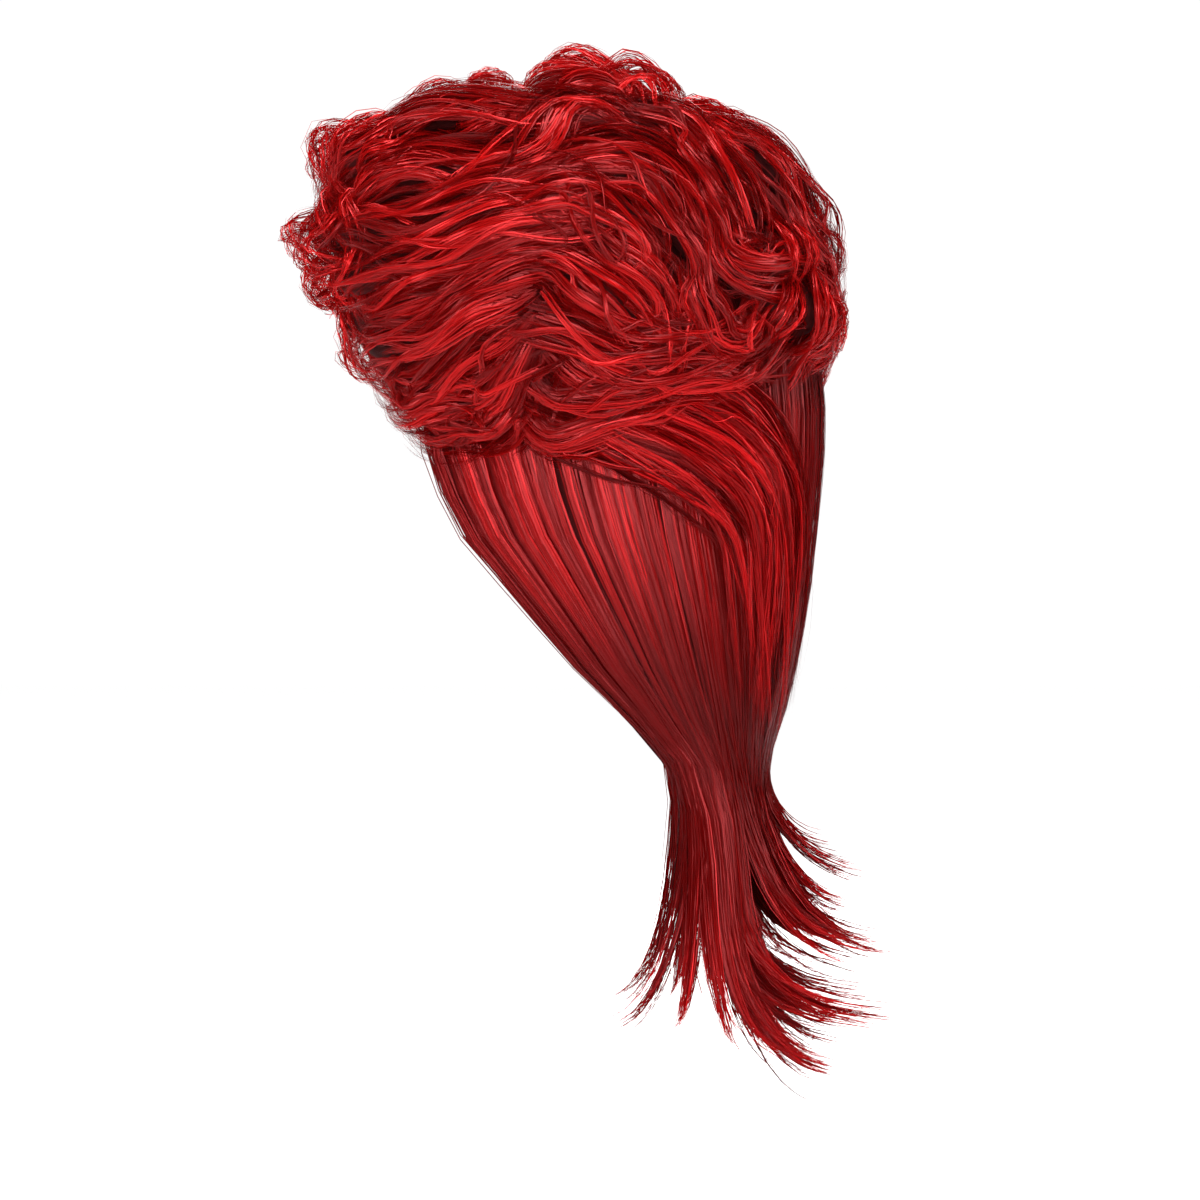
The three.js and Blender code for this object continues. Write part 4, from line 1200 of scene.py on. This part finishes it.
@dataclass
class StraightFall:
    """The straight hair: side panels, back, the swept layers over them and the flicked tail, in metres."""

    top_drop: float = 0.066
    length: float = 0.246
    half: float = 0.085
    reach: float = 0.160
    wall: float = 0.011
    edge_wall: float = 0.004
    front_turn: float = math.radians(FRONT_DEGREES)
    panel_share: float = 0.52
    swept_width: float = 0.044
    swept_depth: float = 0.007
    swept_strays: int = 3
    flick_width: float = 0.029
    flick_depth: float = 0.011
    flare: float = 0.3
    draw_back: float = 15.0
    droop: float = 1.6
    drape: Drape = Drape()
    sections: tuple[tuple[float, ...], ...] = (
        (0, -0.38, 0.16, 0.95, 0.98),
        (0.11, -0.4, 0.18, 0.97, 0.99),
        (0.25, -0.385, 0.2, 0.965, 1),
        (0.4, -0.285, 0.26, 0.94, 0.98),
        (0.55, -0.095, 0.34, 0.915, 0.95),
        (0.7, 0.096, 0.42, 0.87, 0.91),
        (0.82, 0.256, 0.48, 0.83, 0.86),
        (0.93, 0.4, 0.54, 0.76, 0.78),
        (1, 0.43, 0.56, 0.73, 0.74),
    )
    swept_locks: tuple[tuple[tuple[Pair, ...], float], ...] = (
        (((0.12, 0.08), (0.3, 0.19), (0.45, 0.27), (0.56, 0.4), (0.58, 0.62), (0.59, 0.82)), 0.8),
        (((0.25, 0.06), (0.42, 0.14), (0.56, 0.22), (0.66, 0.36), (0.67, 0.6), (0.67, 0.86)), 0.9),
        (((0.36, 0.05), (0.51, 0.1), (0.62, 0.18), (0.7, 0.32), (0.71, 0.58), (0.7, 0.82)), 0.65),
    )

    @property
    def waist(self) -> float:
        """The drop of the fall's lower end."""
        return self.top_drop + self.length

    def section(self, column: int, down: Array) -> Array:
        """A column of the sections at shares down the fall, with its corners eased."""
        table = np.array(self.sections)
        fine = np.linspace(-0.1, 1.1, 241)
        values = np.interp(fine, table[:, 0], table[:, column])
        window = np.hanning(17)
        eased = np.convolve(np.pad(values, 8, mode="edge"), window / window.sum(), mode="valid")
        return np.interp(down, fine, eased)

    def point(self, round_: Array, down: Array, inset: Array) -> tuple[Array, Array]:
        """Points of the fall, round from the left front edge (0) by the back (1) to the right (2).

        Args:
            round_: Shares round.
            down: Shares down, 0 under the curls and 1 at the waist.
            inset: Depths below the surface.

        Returns:
            The points and the outward directions.
        """
        side = np.where(round_ > 1, -1.0, 1.0)
        part = np.where(round_ > 1, 2 - round_, round_)
        turn = -self.front_turn + (math.pi / 2 + self.front_turn) * part
        front, middle, back = (self.reach * self.section(column, down) for column in (1, 2, 3))
        half = self.half * self.section(4, down)
        depth = np.where(turn < 0, (middle - front) / math.sin(self.front_turn), back - middle)
        z = -self.top_drop - self.length * down
        point = np.stack([side * half * np.cos(turn), middle + depth * np.sin(turn), z], -1)
        outward = unit(np.stack([side * np.cos(turn) / half, np.sin(turn) / depth, 0 * z], -1))
        return point - outward * np.asarray(inset)[..., None], outward

    def flick_point(self, layer: FlickLayer, flick: Array, side: Array, share: Array) -> Array:
        """Points along flicks of a layer.

        Args:
            layer: The layer.
            flick: Turn, swing, drop and bend for each flick, in its last axis.
            side: The side that each is on.
            share: Shares along each.

        Returns:
            The points.
        """
        turn = np.radians(flick[..., 0])
        front = (self.sections[-1][2] - self.sections[-1][1]) / math.sin(self.front_turn)
        back = self.sections[-1][3] - self.sections[-1][2]
        depth = self.reach * np.where(turn < 0, front, back) - layer.inset
        across = self.half * self.sections[-1][4] - layer.inset
        fallen = 1 - (1 - share) ** self.droop
        down = layer.root + (layer.drop * flick[..., 2] - layer.root) * fallen
        y = self.reach * self.sections[-1][2] + depth * np.sin(turn)
        y = y + layer.reach * flick[..., 1] * share ** flick[..., 3]
        x = side * across * np.cos(turn) * (1 + self.flare * share**2)
        return np.stack([x, y, -self.waist - down], -1)

    def hang(self, piece: FallPiece, rng: np.random.Generator) -> Strands:
        """The strands of a piece, from under the curls to the tips of its flicks.

        Args:
            piece: The piece.
            rng: The source of chance.

        Returns:
            Its strands.
        """
        falling, flicking = (8, 9) if piece.backed else (4, 11)
        steps = falling + flicking
        layer, drape = piece.layer, self.drape
        home = rng.permutation(np.linspace(piece.start, piece.stop, piece.wisps))
        home = home + rng.normal(0, drape.drift, piece.wisps)
        wisp = np.repeat(np.arange(piece.wisps), piece.strands)
        count = len(wisp)
        spread = np.clip(rng.normal(0, drape.spread, count), -drape.widest, drape.widest)
        gap = (piece.stop - piece.start) / piece.wisps
        middle = home[wisp]
        side = np.where(middle > 1, -1.0, 1.0)
        part = np.where(middle > 1, 2 - middle, middle)
        turn = WHOLE_TURN * part - FRONT_DEGREES
        flick = self.own_flick(layer, turn, home, wisp, rng)
        deep = rng.uniform(0, 1, piece.wisps)[wisp] ** 1.5
        short = rng.uniform(0, 1, piece.wisps)[wisp] < drape.short_wisps
        end = 1 - drape.frayed * rng.uniform(0, 1, count) ** 1.5
        end = np.where(short, rng.uniform(*drape.short_ends, piece.wisps)[wisp], end)
        parting = self.waist + layer.root
        uneven, painted_shadow_reach = (0.012, 0.03) if piece.backed else (0.06, 0.09)
        first = piece.first_drop + rng.uniform(0, uneven, count)[:, None]
        upper = first + (parting - first) * np.linspace(0, 1, falling + 1)[None]
        on_flick = end[:, None] * np.linspace(0, 1, flicking + 1)[None, 1:]
        reach = (layer.drop * flick[:, 2] - layer.root)[:, None]
        lower = parting + reach * (1 - (1 - on_flick) ** self.droop)
        drop = np.concatenate([upper, lower], axis=1)
        share = np.concatenate([np.zeros_like(upper), on_flick], axis=1)
        down = np.clip((drop - self.top_drop) / self.length, 0, 1)
        narrow = 1 - drape.gathered * smoothstep((down - 0.2) / 0.9)
        round_ = middle[:, None] + spread[:, None] * gap * piece.loose * narrow
        round_ = round_ + stray(drape.sway, count, steps, rng)
        inset = drape.skin + drape.layer * deep[:, None] + stray(drape.waver, count, steps, rng)
        inset = inset + max(0.0, layer.inset)
        hanging, outward = self.point(round_, down, inset)
        hanging[..., 2] = -drop
        flicked = self.flick_point(layer, flick[:, None], side[:, None], share)
        across = np.stack([-side * np.sin(np.radians(turn)), np.cos(np.radians(turn)), 0 * turn], -1)
        away = np.stack([side * np.cos(np.radians(turn)), np.sin(np.radians(turn)), 0 * turn], -1)
        taper = 1 - drape.pointed * share**1.5
        wide = self.flick_width * drape.flick_share
        flicked = flicked + across[:, None] * (spread[:, None] * wide * taper)[..., None]
        flicked = flicked + away[:, None] * ((0.5 - deep)[:, None] * self.flick_depth * taper)[..., None]
        blend = smoothstep((drop - parting + 0.02) / (0.06 + abs(layer.root)))[..., None]
        centres = hanging * (1 - blend) + flicked * blend
        lean = (rng.normal(0, drape.lean, count) + spread * drape.roll)[:, None]
        lean = (lean + rng.normal(0, drape.tip_lean, count)[:, None] * share)[..., None]
        tangent = np.gradient(centres, axis=1)
        beside = unit(np.cross(outward, tangent))
        facing = unit(np.cross(tangent, beside)) * np.cos(lean) + beside * np.sin(lean)
        # Height in the hair, painted as light and shade: painted shade on the inner strands, at the waist
        # and under the curls at the top; painted light at the tips.
        height = piece.tone - drape.painted_hollow_shade * deep[:, None] + 0.1 * spread[:, None]
        height = height + drape.painted_tip_glow * share**2
        height = height * (1 - drape.waist_shade * smoothstep((down - 0.45) / 0.4) * (1 - share))
        height = np.clip(height, 0, 1) * (0.3 + 0.7 * smoothstep((drop - first) / painted_shadow_reach))
        shade = np.stack([
            np.repeat(rng.uniform(0, 1, count)[:, None], steps + 1, axis=1),
            np.repeat(rng.uniform(0, 1, piece.wisps)[wisp, None], steps + 1, axis=1),
            height,
        ], axis=-1)
        return Strands(centres, facing, fibre_widths(drape.fibre, count, steps, rng), shade)

    def own_flick(
        self, layer: FlickLayer, turn: Array, home: Array, wisp: Array, rng: np.random.Generator,
    ) -> Array:
        """The flick that each strand runs out in: near the layer's own, and its own for each wisp.

        Args:
            layer: The layer.
            turn: Where each strand stands round the fall, in degrees.
            home: Where each wisp stands round the fall.
            wisp: The wisp that each strand is in.
            rng: The source of chance.

        Returns:
            Turn, swing, drop and bend for each strand.
        """
        table = np.array([(flick.turn, flick.swing, flick.drop, flick.bend) for flick in layer.flicks])
        turn = turn + self.draw_back * (BACK_DEGREES - turn) / WHOLE_TURN
        rising = table[np.argsort(table[:, 0])]
        between = np.stack([np.interp(turn, rising[:, 0], rising[:, column]) for column in range(4)], -1)
        nearest = table[np.abs(turn[:, None] - table[None, :, 0]).argmin(axis=1)]
        tight = rng.uniform(0, 1, len(home)) < 0.8
        pull = np.where(tight, 1.0, rng.uniform(0, 0.8, len(home)))[wisp, None]
        loose = rng.normal(0, 1, (len(home), 4)) * (1.2, 0.03, 0.03, 0.1)
        loose = loose * np.where(tight, 1, 2.5)[:, None]
        return between * (1 - pull) + nearest * pull + loose[wisp]

    def add_backing(self, mesh: HairMesh, piece: FallPiece) -> None:
        """Adds the sheet behind a piece's strands, dark as painted shade."""
        rounds = np.linspace(piece.start + 0.02, piece.stop - 0.02, 60)[None]
        downs = np.linspace(0.0, 1.0, 22)[:, None]
        rounds, downs = np.broadcast_arrays(rounds, downs)
        ripple = 0.0008 * np.sin(rounds * 111 + 3 * downs)
        edge = np.minimum(rounds, 2 - rounds)
        wall = self.edge_wall + (self.wall - self.edge_wall) * smoothstep(edge / 0.35)
        outer, _ = self.point(rounds, downs, 0.0045 + ripple)
        inner, _ = self.point(rounds, downs, np.maximum(wall, 0.006) + ripple)
        mesh.add_grid(np.concatenate([outer, inner[:, ::-1]], axis=1), SHEET_PAINTED_SHADE, wrap=True)

    def add_cores(self, mesh: HairMesh, piece: FallPiece) -> None:
        """Adds the heart of each flick, dark as painted shade."""
        layer = piece.layer
        reach = 0.8
        share = np.linspace(0, reach, 14)
        for flick in layer.flicks:
            for side in Side:
                part = (flick.turn + FRONT_DEGREES) / WHOLE_TURN
                at = part if side is Side.LEFT else 2 - part
                if not flick.full or not piece.start - 0.001 <= at <= piece.stop + 0.001:
                    continue
                table = np.array([(flick.turn, flick.swing, flick.drop, flick.bend)])
                place = self.flick_point(layer, table, np.array([float(side.value)]), share[:, None])[:, 0]
                turn = math.radians(flick.turn)
                outward = np.array([side.value * math.cos(turn), max(0.3, math.sin(turn)), 0.0])
                route = Route.along(place, np.broadcast_to(unit(outward), place.shape))
                size = (1 - 0.95 * (share / reach) ** 1.3)[:, None, None]
                angle = np.linspace(0, 2 * math.pi, CORE_SIDES, endpoint=False)[None, :, None]
                ring = (place - route.out * self.flick_depth * 0.45)[:, None]
                ring = ring + route.aside[:, None] * np.cos(angle) * self.flick_width * 0.22 * size
                ring = ring + route.out[:, None] * np.sin(angle) * self.flick_depth * 0.2 * size
                mesh.add_grid(ring, FLICK_PAINTED_SHADE, wrap=True)

    def make(self, piece: FallPiece, material: bpy.types.Material, seed: int) -> bpy.types.Object:
        """Builds a panel, the back or a layer of the tail.

        Args:
            piece: The piece to build.
            material: Its finish.
            seed: The seed of its chance.

        Returns:
            The finished piece.
        """
        rng = np.random.default_rng(seed)
        mesh = HairMesh(piece.name)
        if piece.backed:
            self.add_backing(mesh, piece)
        self.add_cores(mesh, piece)
        mesh.add_strands(self.hang(piece, rng))
        return mesh.make(material, piece.slot, (piece.node,))

    def make_swept(self, side: Side, material: bpy.types.Material, seed: int) -> bpy.types.Object:
        """Builds the smooth layer that is swept over one panel.

        Args:
            side: The side it is on.
            material: Its finish.
            seed: The seed of its chance.

        Returns:
            The finished piece.
        """
        rng = np.random.default_rng(seed)
        mesh = HairMesh(f"{side.name.lower()}_swept_layer")
        strands = 22 if side is Side.LEFT else 11
        for line, wide in self.swept_locks:
            whole = smooth_line(np.array(line), np.linspace(0, 1, SWEPT_POINTS))
            route = self.swept_route(whole, side, self.swept_depth / 3)
            # The swept locks and their strays are lifted in height, as painted light.
            comb = Comb(wisps=16, strands=strands, width=self.swept_width * wide, depth=self.swept_depth,
                        root_share=0.8, tip_share=0.35, wave=0.004, waves=1.0, frizz=0.0006,
                        wisp_radius=0.0026, shortest=0.45, twist=0.2, bright=0.16)
            mesh.add_strands(comb_out(route, comb, rng))
            for _ in range(self.swept_strays):
                bent = np.array(line) + rng.normal(0, 0.022, 2) + rng.normal(0, 0.012, (len(line), 2))
                part = smooth_line(bent, np.linspace(0, 0.92, SWEPT_POINTS))
                route = self.swept_route(part, side, self.swept_depth / 2)
                comb = Comb(wisps=3, strands=10, width=self.swept_width * 0.35,
                            depth=self.swept_depth / 2, root_share=0.8, tip_share=0.8, wave=0.004,
                            waves=1.2, frizz=0.0007, wisp_radius=0.0022, shortest=0.5, twist=0.7,
                            bright=0.2)
                mesh.add_strands(comb_out(route, comb, rng))
        return mesh.make(material, Slot.STRAIGHT, (f"swept_layer_{side.name.lower()}",))

    def swept_route(self, flat: Array, side: Side, proud: float) -> Route:
        """The route of a lock that lies over a panel.

        Args:
            flat: Its points, each [round, down].
            side: The side it is on.
            proud: How far it stands above the panel.

        Returns:
            The route.
        """
        round_ = flat[:, 0] if side is Side.LEFT else 2 - flat[:, 0]
        place, outward = self.point(round_, flat[:, 1], np.full(len(flat), -proud))
        return Route.along(place, outward)

    def pieces(self) -> tuple[FallPiece, ...]:
        """The pieces of the fall and the tail, in order."""
        edge = self.panel_share
        straight, tail = Slot.STRAIGHT, Slot.TAIL
        return (
            FallPiece("left_panel", "side_panel_left", straight, 0.0, edge, OUTER_FLICKS, 100, 17, 0.07,
                      2.4, 0.72, True),
            FallPiece("right_panel", "side_panel_right", straight, 2 - edge, 2.0, OUTER_FLICKS, 66, 14,
                      0.07, 3.0, 0.72, True),
            FallPiece("straight_back", "back_fall", straight, edge, 2 - edge, OUTER_FLICKS, 130, 13, 0.07,
                      3.0, 0.74, True),
            FallPiece("upper_tail", "tail_upper", tail, 0.35, 1.65, UPPER_FLICKS, 90, 14, 0.25,
                      3.0, 0.62, False),
            FallPiece("lower_tail", "tail_lower", tail, 0.24, 1.76, LOWER_FLICKS, 90, 12, 0.25,
                      3.0, 0.58, False),
        )


@dataclass
class Studio:
    """Pale floor, soft lights and the camera at the photograph's angle, in metres."""

    floor_drop: float = 0.502
    floor_size: float = 24.0
    lens: float = 120.0
    frame_width: float = 0.66
    aim_y: float = 0.030
    aim_z: float = -0.202
    backdrop: float = 1.02
    air_light: float = 0.12

    def build(self) -> None:
        """Builds the whole studio."""
        self.lay_floor()
        self.set_lights()
        self.set_camera()
        LOG.info("studio: floor, lights and camera")

    def lay_floor(self) -> None:
        """Lays the floor and lights the backdrop."""
        half = self.floor_size / 2
        steps = np.linspace(-half, half, 9)
        x, y = np.meshgrid(steps, steps)
        points = np.stack([x, y, np.full_like(x, -self.floor_drop)], -1).reshape(-1, 3)
        first = (np.arange(8)[:, None] * 9 + np.arange(8)[None]).ravel()
        quads = np.stack([first, first + 1, first + 10, first + 9], -1)
        mesh = bpy.data.meshes.new("studio_floor")
        mesh.from_pydata(points.tolist(), [], quads.tolist())
        mesh.materials.append(PaleFinish().material())
        floor = bpy.data.objects.new("studio_floor", mesh)
        bpy.context.scene.collection.objects.link(floor)
        world = bpy.data.worlds.new("studio_air")
        world.use_nodes = True
        tree = world.node_tree
        background = tree.nodes["Background"]
        background.inputs["Color"].default_value = (1, 1, 1, 1)
        seen = tree.nodes.new("ShaderNodeLightPath")
        strength = tree.nodes.new("ShaderNodeMapRange")
        strength.inputs["To Min"].default_value = self.air_light
        strength.inputs["To Max"].default_value = self.backdrop
        tree.links.new(seen.outputs["Is Camera Ray"], strength.inputs["Value"])
        tree.links.new(strength.outputs["Result"], background.inputs["Strength"])
        bpy.context.scene.world = world

    def add_light(self, name: str, place: tuple[float, float, float], size: Pair, power: float) -> None:
        """Adds a soft light, of a width and a height, that faces the wig."""
        light = bpy.data.lights.new(name, "AREA")
        light.shape = "RECTANGLE"
        light.size, light.size_y = size
        light.energy = power
        lamp = bpy.data.objects.new(name, light)
        lamp.location = place
        aim = Vector((0, self.aim_y, self.aim_z)) - lamp.location
        lamp.rotation_mode = "QUATERNION"
        lamp.rotation_quaternion = aim.to_track_quat("-Z", "Y")
        bpy.context.scene.collection.objects.link(lamp)

    def set_lights(self) -> None:
        """Hangs a wide low light by the camera and softer ones in front, above, behind and beyond."""
        self.add_light("key_light", (2.6, 0.25, -0.05), (1.8, 0.6), 53)
        self.add_light("front_light", (1.2, -2.0, 0.9), (1.0, 1.0), 38)
        self.add_light("top_light", (0.9, 0.1, 2.0), (1.2, 1.2), 74)
        self.add_light("back_light", (0.3, 2.1, 0.5), (1.2, 1.2), 34)
        self.add_light("far_light", (-2.0, -0.2, 0.6), (1.4, 1.4), 38)

    def set_camera(self) -> None:
        """Sets the camera level with the wig, at its left side."""
        data = bpy.data.cameras.new("side_camera")
        data.lens = self.lens
        data.sensor_width = 36
        half = math.atan(data.sensor_width / 2 / self.lens)
        camera = bpy.data.objects.new("side_camera", data)
        camera.location = (self.frame_width / 2 / math.tan(half), self.aim_y, self.aim_z)
        camera.rotation_euler = (math.pi / 2, 0, math.pi / 2)
        bpy.context.scene.collection.objects.link(camera)
        bpy.context.scene.camera = camera
        bpy.context.scene.view_settings.view_transform = "Standard"


def main() -> None:
    """Builds the studio and each sub-assembly of the wig."""
    logging.basicConfig(level=logging.INFO, format="%(name)s: %(message)s")
    Studio().build()
    cap = HeadCap()
    cap.dress()
    fall = StraightFall()
    straight, tail = FALL_FINISH.material(), TAIL_FINISH.material()
    for seed, piece in enumerate(fall.pieces(), start=11):
        fall.make(piece, tail if piece.slot is Slot.TAIL else straight, seed)
    fall.make_swept(Side.LEFT, straight, 21)
    fall.make_swept(Side.RIGHT, straight, 22)
    dome = CurlDome(cap)
    curls = CURL_FINISH.material()
    for seed, piece in enumerate(dome.pieces(), start=31):
        dome.make(piece, curls, seed)


if __name__ == "__main__":
    main()
